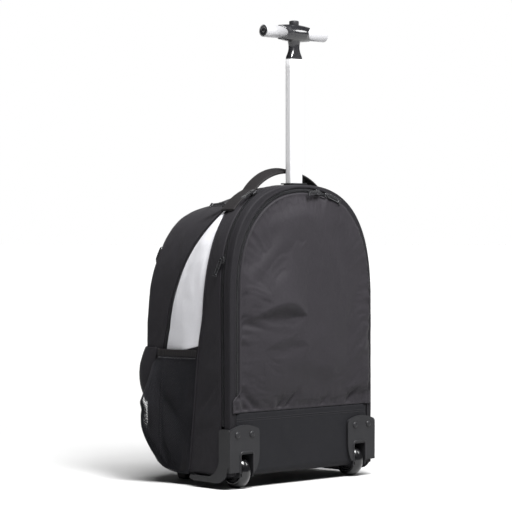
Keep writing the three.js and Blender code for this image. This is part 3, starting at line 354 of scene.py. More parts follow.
# painted shade: a darker copy of the charcoal nylon for the lower side panels, standing in for the shade
# inside the mesh pockets behind the nets
paintedShadeNylon = clothMaterial("painted_shade_nylon", (0.0035, 0.0033, 0.004), (0.0098, 0.0092, 0.011), 1100, 0.02)
coverNylon = clothMaterial(
    "cover_nylon", (0.0088, 0.008, 0.0096), (0.0229, 0.0206, 0.0247), 1300, 0.02, bump=0.2, gloss=0.14,
)
baseCloth = clothMaterial("base_cloth", (0.0051, 0.0051, 0.0062), (0.0133, 0.0133, 0.0155), 800, 0.02)
paleCloth = clothMaterial("pale_cloth", (0.42, 0.42, 0.442), (0.545, 0.545, 0.567), 900, 0.1)
netThread = clothMaterial("net_thread", (0.006, 0.006, 0.0075), (0.02, 0.02, 0.024), 700, 0.05)
strapWebbing = clothMaterial("strap_webbing", (0.006, 0.0055, 0.0058), (0.0154, 0.014, 0.0149), 700, 0.03)
zipTape = clothMaterial("zip_tape", (0.009, 0.009, 0.01), (0.026, 0.0255, 0.028), 1000, 0.02)
seamThread = clothMaterial("seam_thread", (0.018, 0.018, 0.02), (0.05, 0.048, 0.052), 600, 0.05)
paleThread = clothMaterial("pale_thread", (0.16, 0.16, 0.17), (0.34, 0.34, 0.36), 600, 0.1)
zipCoil = mouldedMaterial("zip_coil", (0.007, 0.007, 0.008), (0.024, 0.024, 0.027), 2600, 0.1)
pullMetal = mouldedMaterial(
    "pull_gunmetal", (0.04, 0.04, 0.043), (0.13, 0.13, 0.137), 1800, 0.12,
    smoothest=0.16, coat=0.3, metallic=0.85,
)
housingPlastic = mouldedMaterial(
    "housing_plastic", (0.008, 0.008, 0.0091), (0.0228, 0.0228, 0.0251), 1500, 0.3,
)
glossPlastic = mouldedMaterial(
    "gloss_black", (0.004, 0.004, 0.005), (0.022, 0.022, 0.024), 300, 0.02, smoothest=0.2, coat=0.9,
)
wheelRubber = mouldedMaterial(
    "wheel_black", (0.003, 0.003, 0.0035), (0.01, 0.01, 0.011), 500, 0.04, smoothest=0.12, coat=0.5,
)
softRubber = mouldedMaterial("foot_rubber", (0.0042, 0.0042, 0.0049), (0.0154, 0.0154, 0.0168), 900, 0.25)
tubeMetal = drawnMetal("drawn_aluminium", (0.58, 0.58, 0.59), 0.34, (900, 900, 2))
sleeveMetal = drawnMetal("satin_sleeve", (0.36, 0.36, 0.37), 0.3, (3, 700, 700))
pinSteel = drawnMetal("pin_steel", (0.4, 0.4, 0.42), 0.3, (300, 300, 300))
print("materials made")


# places on the shell: a share runs along the outline from the left foot over the crown to the right foot
def readTable(rows, key, at, smooth=True):
    at = min(max(at, rows[0][key]), rows[-1][key])
    i = next(k for k in range(len(rows) - 1) if at <= rows[k + 1][key])
    first, second = rows[i], rows[i + 1]
    span = second[key] - first[key]
    t = (at - first[key]) / span
    if not smooth:
        return {name: first[name] + (second[name] - first[name]) * t for name in first}
    before, after = rows[max(i - 1, 0)], rows[min(i + 2, len(rows) - 1)]
    read = {}
    for name in first:
        slopeIn = (second[name] - before[name]) / (second[key] - before[key]) * span
        slopeOut = (after[name] - first[name]) / (after[key] - first[key]) * span
        a = 2 * t ** 3 - 3 * t ** 2 + 1
        b = t ** 3 - 2 * t ** 2 + t
        c = t ** 3 - t ** 2
        read[name] = a * first[name] + b * slopeIn + (1 - a) * second[name] + c * slopeOut
    return read


def lerp(a, b, t):
    return a + (b - a) * t


def ease(low, high, at):
    t = min(max((at - low) / (high - low), 0), 1)
    return t * t * (3 - 2 * t)


def bead(at, centre, width):
    return math.exp(-((at - centre) / width) ** 2)


def climbOf(share):
    return 2 * min(share, 1 - share)


def seamsAt(share):
    return readTable(seamRows, "climb", climbOf(share))


def wallFoot(depth):
    run = max(0, depth - shell["toeDepth"])
    return shell["toeHeight"] - math.sqrt(shell["toeRadius"] ** 2 - run ** 2)


def outlinePoint(share, depth, inset=0.0):
    row = readTable(outlineRows, "depth", depth, smooth=False)
    side = -1 if share < 0.5 else 1
    climb = climbOf(share)
    spring = shell["springShare"]
    if climb <= spring:
        z = lerp(wallFoot(depth), row["spring"], climb / spring)
        return Vector((side * (row["half"] - inset), depth, z))
    turn = (climb - spring) / (1 - spring) * math.pi / 2
    across = max(math.cos(turn), 0) ** (2 / row["power"])
    up = max(math.sin(turn), 0) ** (2 / row["power"])
    return Vector((side * (row["half"] - inset) * across, depth, row["spring"] + (row["rise"] - inset) * up))


def outlineNormal(share, depth):
    step = 0.001
    run = outlinePoint(share + step, depth) - outlinePoint(share - step, depth)
    return run.cross(Vector((0, 1, 0))).normalized()


def cornerInset(depth):
    corner = shell["frontCorner"]
    run = min(max(depth - (shell["frontDepth"] - corner), 0), corner)
    return corner - math.sqrt(corner ** 2 - run ** 2)


def shareAtHeight(z):
    foot = shell["wallFoot"]
    return (z - foot) / (outlineRows[0]["spring"] - foot) * shell["springShare"] / 2


def toFrame(point):
    return Vector((point[0], point[1] - shell["centreDepth"], point[2])) * mm


def crumple(point, size, seed):
    return noise.noise(Vector(point) / size + Vector((seed * 7.3, seed * 3.1, seed * 5.7)))


# cloth that isn't quite flat: broad and fine give a height and a size each
def uneven(spot, broad, fine, seed, shift=0):
    x, y, z = spot
    return broad[0] * crumple(spot, broad[1], seed) + fine[0] * crumple((x, y, z + shift), fine[1], seed + 1)


# making pieces
def finishPiece(bm, name, material, body="bag", replaced=()):
    mesh = bpy.data.meshes.new(name)
    bm.to_mesh(mesh)
    bm.free()
    mesh.polygons.foreach_set("use_smooth", [True] * len(mesh.polygons))
    mesh.materials.append(material)
    piece = bpy.data.objects.new(name, mesh)
    bpy.context.scene.collection.objects.link(piece)
    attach(piece, body)
    if replaced:
        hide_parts(*replaced)
    return piece


def shapedGrid(columns, rows, surface, flat, closed=False):
    bm = bmesh.new()
    bmesh.ops.create_grid(bm, x_segments=columns, y_segments=rows, size=0.5)
    layer = bm.loops.layers.uv.new("cloth")
    for face in bm.faces:
        for loop in face.loops:
            spot = loop.vert.co
            loop[layer].uv = ((spot.x + 0.5) * flat[0], (spot.y + 0.5) * flat[1])
    for vert in bm.verts:
        vert.co = toFrame(surface(vert.co.x + 0.5, vert.co.y + 0.5))
    if closed:
        bmesh.ops.remove_doubles(bm, verts=bm.verts, dist=1e-6)
    return bm


def faceOutwards(bm, towards):
    bm.normal_update()
    facing = sum(face.normal.dot(towards(face.calc_center_median())) * face.calc_area() for face in bm.faces)
    if facing < 0:
        bmesh.ops.reverse_faces(bm, faces=bm.faces)


def wallOf(piece, thickness):
    solid = piece.modifiers.new("wall", "SOLIDIFY")
    solid.thickness = thickness * mm
    solid.offset = -1


def closeEnds(bm):
    bmesh.ops.holes_fill(bm, edges=bm.edges, sides=0)
    bmesh.ops.recalc_face_normals(bm, faces=bm.faces)


def towardsBack(spot):
    return Vector((0, -1, 0))


def towardsFront(spot):
    return Vector((0, 1, 0))


# outwards to the sides low down, and more and more upwards over the arch
def awayFromMiddle(spot):
    return Vector((spot.x, 0, max(spot.z - 0.2, 0) * 0.8 + 0.001))


# back cover: soft nylon with the folds that the photograph shows
cover = {
    "columns": 150, "rows": 176, "flat": (0.3, 0.36), "foot": 122.4, "thickness": 1.6, "zipEnd": 152,
    "lowHalf": 159.5, "edgePuff": 6.5, "edgeReach": 26, "crownPuff": 1.5, "crownRise": 130,
    "puff": 8.5, "puffReach": 95, "tuckReach": 90, "topReach": 40, "hem": 2.5, "foldGain": 1.2,
    "pucker": 4.8, "puckerReach": 18, "puckerPitch": 10, "footPucker": 3.2, "footReach": 15, "footPitch": 11,
    "overhang": 12, "overhangPuff": 10.5, "overhangRound": 3.2,  # the padding leans over the zip on the right
    "leanSpan": (10, 85), "padSpan": (20, 60), "overhangRise": (1, 6), "overhangFall": (9, 48),
    "flareSpan": (140, 156), "flare": 1.6, "innerSpan": (1, 6.5), "slumpEdge": 16, "turnRun": 250,
    "lip": 1.1, "lipAt": 1.2, "broad": (1.5, 60), "fine": (0.5, 22),
}
# where the cloth bulges over a crease: the ends of the crease, the rise of the bulge over it, its slope
coverSlumps = [
    {
        "x": -140, "z": 270, "endX": -3, "endZ": 275, "rise": 26,
        "peak": 1.5, "slope": 0.58, "above": 50, "below": 36,
    },
    {
        "x": -100, "z": 220, "endX": 6, "endZ": 226, "rise": 20,
        "peak": 1.1, "slope": 0.26, "above": 24, "below": 40,
    },
]
# dents by their middle, turn in degrees, half length, half width and depth
coverFolds = [
    {"x": -94, "z": 380, "turn": 42, "length": 42, "width": 15, "depth": 2.6, "skew": 0.8},
    {"x": -66, "z": 350, "turn": 38, "length": 52, "width": 17, "depth": 3.2, "skew": 0.8},
    {"x": -118, "z": 262, "turn": -12, "length": 24, "width": 7, "depth": 2.6, "skew": 0.3},
    {"x": -122, "z": 140, "turn": -38, "length": 26, "width": 7, "depth": 4, "skew": 0.4},
    {"x": -137, "z": 138, "turn": -62, "length": 20, "width": 5.5, "depth": 3, "skew": 0},
    {"x": -30, "z": 138, "turn": 51, "length": 18, "width": 5, "depth": 3.8, "skew": 0.4},
    {"x": -52, "z": 134, "turn": 60, "length": 13, "width": 4.5, "depth": 3, "skew": 0},
    {"x": 47, "z": 131, "turn": 54, "length": 13, "width": 4.5, "depth": 2.2, "skew": 0.4},
    {"x": 112, "z": 137, "turn": 51, "length": 17, "width": 5.5, "depth": 3.8, "skew": 0.4},
    {"x": 138, "z": 240, "turn": 74, "length": 20, "width": 7, "depth": 3.2, "skew": 0},
    {"x": 124, "z": 222, "turn": 38, "length": 22, "width": 8, "depth": -2, "skew": 0},
    {"x": 118, "z": 330, "turn": 84, "length": 70, "width": 15, "depth": 2.2, "skew": 0},
    {"x": 20, "z": 176, "turn": -9, "length": 80, "width": 22, "depth": 2.6, "skew": -0.4},
]


def foldHeight(x, z, folds):
    height = 0
    for fold in folds:
        turn = math.radians(fold["turn"])
        along = ((x - fold["x"]) * math.cos(turn) + (z - fold["z"]) * math.sin(turn)) / fold["length"]
        across = ((z - fold["z"]) * math.cos(turn) - (x - fold["x"]) * math.sin(turn)) / fold["width"]
        height -= fold["depth"] * math.exp(-along ** 2 - across ** 2) * (1 + fold["skew"] * across)
    return height


def slumpHeight(x, z):
    height = 0
    for slump in coverSlumps:
        t = (x - slump["x"]) / (slump["endX"] - slump["x"])
        if 0 < t < 1:
            crease = lerp(slump["z"], slump["endZ"], t)
            rise = slump["rise"] * math.sin(math.pi * t ** slump["peak"])
            drop = slump["slope"] * rise / 2
            if z > crease + rise:
                height += drop * math.exp(-(z - crease - rise) / slump["above"])
            elif z < crease:
                height -= drop * math.exp(-(crease - z) / slump["below"])
            else:
                height += drop * (2 * ease(0, 1, (z - crease) / max(rise, 1e-6)) - 1)
    return height


def puckers(run, inward, pitch, height, reach, seed):
    ridges = crumple((run, inward * 0.22, 0), pitch, seed)
    ridges += 0.6 * crumple((run, inward * 0.3, 5), pitch * 0.55, seed + 1)
    strength = 0.45 + 0.9 * abs(crumple((run, 0, 9), 46, seed + 2))
    return height * strength * ridges * math.exp(-inward / reach)


def readRim(steps=240):
    rim = []
    for i in range(steps + 1):
        share = lerp(shell["springShare"] / 2, 0.5, i / steps)
        inset = seamsAt(share)["harnessInset"] + shell["halfZip"] + shell["seamGap"]
        spot = outlinePoint(share, 0, inset)
        rim.append({"x": spot.x, "z": spot.z})
    return rim


coverRim = readRim()


def rimHeight(x):
    return readTable(coverRim, "x", -abs(x), smooth=False)["z"]


def rimHalf(z):
    return -readTable(coverRim, "z", z, smooth=False)["x"]


def coverPoint(u, v):
    spring = outlineRows[0]["spring"]
    edgeHalf = rimHalf(spring)
    x = (2 * u - 1) * edgeHalf
    top = rimHeight(x)
    z = lerp(cover["foot"], top, v)
    low = 1 - ease(*cover["flareSpan"], z)
    spread = lerp(1, cover["lowHalf"] / edgeHalf, low)
    x *= spread
    fromFoot = z - cover["foot"]
    fromSide = max(rimHalf(z) * spread - abs(x), 0)
    fromTop = max(top - z, 0)
    fromEdge = fromSide * fromTop / max(math.hypot(fromSide, fromTop), 1e-6)
    nearest = min(fromEdge, fromFoot)
    inner = ease(*cover["innerSpan"], nearest)
    run = z if z < spring else spring + cover["turnRun"] * math.atan2(z - spring, abs(x))
    run += 1000 if x > 0 else 0  # other puckers on the right than on the left
    leaning = ease(*cover["leanSpan"], x) * (1 - low)
    arch = max(z - spring, 0) / outlineRows[0]["rise"]
    outward = Vector((x / edgeHalf, 0, arch)).normalized()
    edgePuff = lerp(cover["edgePuff"], cover["crownPuff"], ease(spring, spring + cover["crownRise"], z))
    tuck = math.sin(math.pi / 2 * min(fromFoot / cover["tuckReach"], 1))
    height = edgePuff * ease(0, cover["edgeReach"], fromEdge) * tuck
    middle = ease(0, cover["puffReach"], fromSide) * tuck * ease(0, cover["topReach"], fromTop)
    height += cover["puff"] * middle
    rounded = cover["overhangPuff"] * (1 - math.exp(-fromEdge / cover["overhangRound"]))
    height = lerp(height, rounded, leaning * (1 - ease(*cover["padSpan"], fromEdge)))
    folded = cover["foldGain"] * foldHeight(x, z, coverFolds)
    folded += slumpHeight(x, z) * ease(0, cover["slumpEdge"], fromEdge)
    height += inner * folded
    height += inner * puckers(run, fromEdge, cover["puckerPitch"], cover["pucker"], cover["puckerReach"], 3)
    height += inner * puckers(x, fromFoot, cover["footPitch"], cover["footPucker"], cover["footReach"], 11)
    height += inner * uneven((x, z, 0), cover["broad"], cover["fine"], 21, shift=3)
    height += cover["lip"] * bead(nearest, cover["lipAt"], cover["lipAt"])
    height += cover["flare"] * ease(edgeHalf - 2, edgeHalf + 3, abs(x)) * low
    lean = cover["overhang"] * leaning * ease(*cover["overhangRise"], fromEdge)
    lean *= 1 - ease(*cover["overhangFall"], fromEdge)
    return Vector((x, -height, z)) + outward * lean


# a short settling of the cloth between its sewn edges, kept within the cap in millimetres
settling = {
    "frames": 14, "shrink": 0.001, "cap": 0.8, "gravity": 0.02, "quality": 6, "mass": 0.25,
    "stretch": 12, "shear": 4, "bending": 0.08, "pinEdge": 1.2, "pinReach": 12,
}


def heldShare(spot):
    x, z = spot.x / mm, spot.z / mm
    inward = min(rimHalf(z) - abs(x), rimHeight(x) - z, z - cover["foot"])
    return settling["pinEdge"] - inward / settling["pinReach"]


def settleCloth(piece):
    rest = [vert.co.copy() for vert in piece.data.vertices]
    pins = piece.vertex_groups.new(name="pins")
    for vert in piece.data.vertices:
        held = heldShare(vert.co)
        if held > 0:
            pins.add([vert.index], min(held, 1), "REPLACE")
    cloth = piece.modifiers.new("cloth", "CLOTH")
    cloth.settings.quality = settling["quality"]
    cloth.settings.mass = settling["mass"]
    cloth.settings.tension_stiffness = settling["stretch"]
    cloth.settings.compression_stiffness = settling["stretch"]
    cloth.settings.shear_stiffness = settling["shear"]
    cloth.settings.bending_stiffness = settling["bending"]
    cloth.settings.vertex_group_mass = "pins"
    cloth.settings.shrink_min = -settling["shrink"]
    cloth.settings.effector_weights.gravity = settling["gravity"]
    cloth.collision_settings.use_collision = False
    scene = bpy.context.scene
    scene.frame_start, scene.frame_end = 1, settling["frames"]
    cloth.point_cache.frame_start, cloth.point_cache.frame_end = 1, settling["frames"]
    for number in range(1, settling["frames"] + 1):
        scene.frame_set(number)
    posed = piece.evaluated_get(bpy.context.evaluated_depsgraph_get())
    spots = [vert.co.copy() for vert in posed.data.vertices]
    piece.modifiers.remove(cloth)
    piece.vertex_groups.clear()
    scene.frame_set(1)
    for vert, start, spot in zip(piece.data.vertices, rest, spots):
        move = spot - start
        vert.co = start + move * min(1, settling["cap"] * mm / max(move.length, 1e-9))


def makeCover():
    bm = shapedGrid(cover["columns"], cover["rows"], coverPoint, cover["flat"])
    faceOutwards(bm, towardsBack)
    piece = finishPiece(bm, "back_cover", coverNylon, replaced=["back_panel"])
    settleCloth(piece)
    wallOf(piece, cover["thickness"])


makeCover()
print("back cover sewn")

# gussets and side panels: sheets that follow the arch, with soft creases
gussets = {
    "columns": 320, "length": 1.25, "thickness": 1.8, "paleFoot": 0.381, "toeDepth": 206, "toeReach": 60,
    "piping": 1.1, "pipingHalf": 1.7, "lip": 0.7, "lipAt": 1.1, "rearLip": 0.8, "rearLipAt": 1.2,
    "mainSwell": 1.6, "mainBroad": (1.2, 46), "mainFine": (0.5, 17),
    "sideSwell": 2.4, "sideSwellRoom": 30, "sideBroad": (1.4, 50), "sideFine": (0.4, 18), "sideSoft": 14,
    "frontBroad": (1.5, 60), "frontFine": (0.5, 20), "frontSoft": (1, 14), "mainSoft": (1, 12),
}
# room for the trolley tube and its rivet, hidden under the collar
tubeHole = {"depth": 21, "width": 29, "thickness": 17.5}


def rearGussetPoint(u, v):
    seams = seamsAt(u)
    corner = shell["backCorner"]
    start = seams["harnessInset"] - shell["halfZip"] - shell["seamGap"]
    flat = start - corner
    arc = corner * math.pi / 2
    side = seams["laptopZip"] - shell["halfZip"] - shell["seamGap"] - corner
    run = v * (flat + arc + side)
    if run < flat:
        point = outlinePoint(u, 0, start - run)
        out = Vector((0, -1, 0))
    elif run < flat + arc:
        angle = (run - flat) / corner
        point = outlinePoint(u, corner * (1 - math.cos(angle)), corner * (1 - math.sin(angle)))
        out = outlineNormal(u, 0) * math.sin(angle) + Vector((0, -1, 0)) * math.cos(angle)
    else:
        point = outlinePoint(u, corner + run - flat - arc)
        out = outlineNormal(u, corner)
    ridge = gussets["piping"] * bead(run - flat, arc * 0.45, gussets["pipingHalf"])
    at, width = gussets["rearLipAt"], gussets["lipAt"]
    lips = gussets["rearLip"] * (bead(run, at, width) + bead(flat + arc + side - run, at, width))
    return point + out * (ridge + lips + 0.25 * crumple(point, 26, 31))


mainCreases = [
    {"x": 46, "z": 158, "turn": -46, "length": 34, "width": 7, "depth": 2.6, "skew": 0},
    {"x": 58, "z": 140, "turn": -44, "length": 30, "width": 6, "depth": 2.2, "skew": 0},
    {"x": 36, "z": 140, "turn": -50, "length": 24, "width": 6, "depth": 2.2, "skew": 0},
    {"x": 60, "z": 92, "turn": -20, "length": 34, "width": 9, "depth": 2, "skew": 0},
    {"x": 40, "z": 226, "turn": -60, "length": 34, "width": 8, "depth": 1.5, "skew": 0},
]


def mainGussetPoint(u, v):
    seams = seamsAt(u)
    rear = seams["laptopZip"] + shell["halfZip"] + shell["sewGap"]
    front = min(seams["gusset"] - shell["sewGap"], seams["frontZip"] - shell["halfZip"])
    depth = lerp(rear, front, v)
    point = outlinePoint(u, depth)
    edge = min(v, 1 - v) * (front - rear)
    soft = ease(*gussets["mainSoft"], edge)
    height = soft * uneven(point, gussets["mainBroad"], gussets["mainFine"], 41)
    height += soft * foldHeight(depth, point.z, mainCreases) + gussets["mainSwell"] * math.sin(math.pi * v)
    height += gussets["lip"] * bead(edge, gussets["lipAt"], gussets["lipAt"])
    return point + outlineNormal(u, depth) * height


def sidePanelPoint(fromShare, toShare, side, seed):
    def point(u, v):
        climb = lerp(fromShare, toShare, u)
        share = climb / 2 if side < 0 else 1 - climb / 2
        seams = seamsAt(share)
        rear = seams["gusset"] + shell["sewGap"]
        front = seams["frontZip"] - shell["halfZip"] - shell["sewGap"]
        spot = outlinePoint(share, lerp(rear, front, v))
        edge = min(v, 1 - v) * (front - rear)
        soft = ease(0, gussets["sideSoft"], edge)
        drawn = (spot.x, spot.y * 1.6, spot.z * 0.7)
        (broad, broadSize), (fine, fineSize) = gussets["sideBroad"], gussets["sideFine"]
        height = soft * (broad * crumple(drawn, broadSize, seed) + fine * crumple(spot, fineSize, seed + 1))
        roomy = ease(0, gussets["sideSwellRoom"], front - rear)
        height += gussets["sideSwell"] * math.sin(math.pi * v) * roomy
        return spot + outlineNormal(share, spot.y) * height

    return point


frontCreases = [
    {"x": 186, "z": 250, "turn": -52, "length": 26, "width": 7, "depth": 1.5, "skew": 0},
    {"x": 178, "z": 236, "turn": -48, "length": 24, "width": 6, "depth": 1.2, "skew": 0},
    {"x": 150, "z": 380, "turn": 70, "length": 30, "width": 9, "depth": 1.6, "skew": 0},
]


def frontGussetPoint(u, v):
    seams = seamsAt(u)
    rear = seams["frontZip"] + shell["halfZip"] + shell["sewGap"]
    corner = shell["frontCorner"]
    side = shell["frontDepth"] - corner - rear
    arc = corner * math.pi / 2
    run = v * (side + arc)
    if run < side:
        depth, inset, angle = rear + run, 0, 0
    else:
        angle = (run - side) / corner
        depth = shell["frontDepth"] - corner * (1 - math.sin(angle))
        inset = corner * (1 - math.cos(angle))
    point = outlinePoint(u, depth, inset)
    aboveToe = point.z - wallFoot(depth)
    drop = wallFoot(depth) - wallFoot(min(depth, gussets["toeDepth"]))
    point.z -= drop * ease(gussets["toeReach"], 0, aboveToe)
    out = outlineNormal(u, depth) * math.cos(angle) + Vector((0, 1, 0)) * math.sin(angle)
    soft = ease(*gussets["frontSoft"], min(run, side + arc - run))
    height = soft * uneven(point, gussets["frontBroad"], gussets["frontFine"], 61)
    lip = gussets["lip"] * bead(run, gussets["lipAt"], gussets["lipAt"])
    height += soft * foldHeight(depth, point.z, frontCreases) + lip
    return point + out * height


def cutTubeHole(bm):
    middle = toFrame((0, tubeHole["depth"], 0))
    across = tubeHole["width"] / 2 * mm
    along = tubeHole["thickness"] / 2 * mm

    def inHole(vert):
        return abs(vert.co.x - middle.x) < across and abs(vert.co.y - middle.y) < along

    faces = [face for face in bm.faces if any(inHole(vert) for vert in face.verts)]
    bmesh.ops.delete(bm, geom=faces, context="FACES")


gussetRows = [
    {"name": "rear_gusset", "point": rearGussetPoint, "rows": 26, "width": 0.03, "material": edgeNylon},
    {"name": "main_gusset", "point": mainGussetPoint, "rows": 26, "width": 0.06, "material": nylon},
    {"name": "front_gusset", "point": frontGussetPoint, "rows": 34, "width": 0.09, "material": nylon},
]
sideSheet = {"columns": 96, "rows": 36, "flat": (0.26, 0.09)}
sideRows = [
    {
        "name": "side_wedge", "low": gussets["paleFoot"], "high": shell["wedgeTip"],
        "material": paleCloth, "slot": "pale", "seed": 51,
    },
    # painted shade: the lower side panels behind the nets take the darker nylon in place of the shade that
    # falls there
    {
        "name": "lower_side", "low": 0, "high": gussets["paleFoot"] - 0.002,
        "material": paintedShadeNylon, "slot": "nylon", "seed": 54,
    },
]


def makeGussets():
    for row in gussetRows:
        name = row["name"]
        bm = shapedGrid(gussets["columns"], row["rows"], row["point"], (gussets["length"], row["width"]))
        faceOutwards(bm, awayFromMiddle)
        if name == "rear_gusset":
            cutTubeHole(bm)
        piece = finishPiece(bm, f"{name}_cloth", row["material"], replaced=[name])
        wallOf(piece, gussets["thickness"])


def makeSides():
    for side, label in bothSides:
        for row in sideRows:
            surface = sidePanelPoint(row["low"], row["high"], side, row["seed"])
            bm = shapedGrid(sideSheet["columns"], sideSheet["rows"], surface, sideSheet["flat"])
            faceOutwards(bm, awayFromMiddle)
            name = f"{row['name']}_cloth_{label}"
            piece = finishPiece(bm, name, row["material"], replaced=[f"{row['name']}_{label}"])
            wallOf(piece, gussets["thickness"])


makeGussets()
makeSides()
print("gussets and side panels sewn")

# front panel and its puffed pocket
frontSheet = {
    "columns": 70, "rows": 80, "flat": (0.27, 0.34), "foot": 87.2, "thickness": 1.8,
    "puff": 6, "puffFoot": 256, "puffTop": 424, "softEdge": 0.12, "broad": (0.9, 48), "fine": (0.4, 16),
}
pocket = {
    "columns": 150, "rows": 54, "flat": (0.48, 0.15), "foot": 131, "top": 222, "rearDepth": 179,
    "frontSwell": 19.5, "cornerSwell": 4, "stand": 2.4, "thickness": 1.8, "gather": 1.6, "gatherPitch": 11,
    "sideShare": 0.6, "turnShare": 0.92, "gatherSpan": (0.01, 0.06), "softSpan": (0.03, 0.2), "softSwell": 8,
    "broad": (1.8, 50), "fine": (0.5, 17),
}


def frontPanelPoint(u, v):
    side = 2 * u - 1
    share = 0.5 + side * (0.5 - shell["springShare"] / 2)
    rim = outlinePoint(share, shell["frontDepth"], shell["frontCorner"] + 1)
    z = lerp(frontSheet["foot"], rim.z, v)
    rise = min(max((z - frontSheet["puffFoot"]) / (frontSheet["puffTop"] - frontSheet["puffFoot"]), 0), 1)
    edge = min(1 - abs(side), v, 1 - v)
    height = frontSheet["puff"] * math.sin(math.pi * rise) * math.cos(side * math.pi / 2)
    waves = uneven((rim.x, z, 0), frontSheet["broad"], frontSheet["fine"], 71, shift=4)
    height += ease(0, frontSheet["softEdge"], edge) * waves * rise
    return Vector((rim.x, shell["frontDepth"] + height, z))


def pocketPlan(u):
    half, corner = shell["halfWidth"], shell["frontCorner"]
    rearRun = shell["frontDepth"] - corner - pocket["rearDepth"]
    arc = corner * math.pi / 2
    flat = half - corner
    total = rearRun + arc + flat
    run = (1 - abs(2 * u - 1)) * total
    side = -1 if u < 0.5 else 1
    if run < rearRun:
        at = Vector((side * half, pocket["rearDepth"] + run, 0))
        return at, Vector((side, 0, 0)), run / rearRun * pocket["cornerSwell"] * pocket["sideShare"]
    if run < rearRun + arc:
        turn = (run - rearRun) / corner
        out = Vector((side * math.cos(turn), math.sin(turn), 0))
        middle = Vector((side * flat, shell["frontDepth"] - corner, 0))
        low, high = pocket["cornerSwell"] * pocket["sideShare"], pocket["frontSwell"] * pocket["turnShare"]
        swell = lerp(low, high, turn / (math.pi / 2))
        return middle + out * corner, out, swell
    x = flat - (run - rearRun - arc)
    return Vector((side * x, shell["frontDepth"], 0)), Vector((0, 1, 0)), pocket["frontSwell"]


def pocketFrontPoint(u, v):
    at, out, swell = pocketPlan(u)
    z = lerp(pocket["foot"], pocket["top"], v)
    rise = math.sin(math.pi * v) ** 0.8 if 0 < v < 1 else 0
    edge = min(v, 1 - v)
    run = u * pocket["flat"][0] / mm
    gather = pocket["gather"] * crumple((run, edge * 40, 0), pocket["gatherPitch"], 81)
    gather *= ease(*pocket["gatherSpan"], edge) * math.exp(-edge * 8)
    soft = ease(*pocket["softSpan"], edge) * min(1, swell / pocket["softSwell"])
    waves = uneven((run, z, 0), pocket["broad"], pocket["fine"], 82, shift=6)
    height = pocket["stand"] + swell * rise + gather + soft * waves
    spot = at + out * height
    return Vector((spot.x, spot.y, z))


def makeFront():
    bm = shapedGrid(frontSheet["columns"], frontSheet["rows"], frontPanelPoint, frontSheet["flat"])
    faceOutwards(bm, towardsFront)
    piece = finishPiece(bm, "front_panel_cloth", nylon, replaced=["front_panel"])
    wallOf(piece, frontSheet["thickness"])
    bm = shapedGrid(pocket["columns"], pocket["rows"], pocketFrontPoint, pocket["flat"])
    faceOutwards(bm, lambda spot: Vector((spot.x, 0.1, 0)))
    piece = finishPiece(bm, "front_pocket_cloth", nylon, replaced=["front_pocket"])
    wallOf(piece, pocket["thickness"])


makeFront()
print("front sewn")

# base panel: band, floor and toe in one sheet, with openings for the wheels
base = {
    "columns": 150, "rows": 100, "flat": (0.32, 0.33), "thickness": 2.2, "corner": 12,
    "bandHalf": 150.6, "floorHalf": 161.5, "toeAngle": 70.2, "gap": 0.4, "hem": 9,
    "lip": 0.6, "lipAt": 1.3, "groove": 0.45, "grooveHalf": 1.2, "softSpan": (8, 24), "flatShare": 0.3,
    "pucker": 0.6, "puckerPitch": 13, "puckerReach": 9, "broad": (0.9, 44), "fine": (0.3, 15),
    "wellInner": 115.5, "wellOuter": 146.5, "wellDepth": 52, "wellTop": 60,
}


# shares of the columns between the wheel wells' edges, and of the rows from the band over the floor to the toe
baseShares = [0, 0.06, 0.16, 0.5, 0.84, 0.94, 1]
baseStages = [0.24, 0.14, 0.08, 0.1, 0.16, 0.28]


def baseAcross(u, half):
    inner, outer = base["wellInner"], base["wellOuter"]
    stops = [-half, -outer, -inner, 0, inner, outer, half]
    i = next(k for k in range(6) if u <= baseShares[k + 1] + 1e-9)
    return lerp(stops[i], stops[i + 1], (u - baseShares[i]) / (baseShares[i + 1] - baseShares[i]))


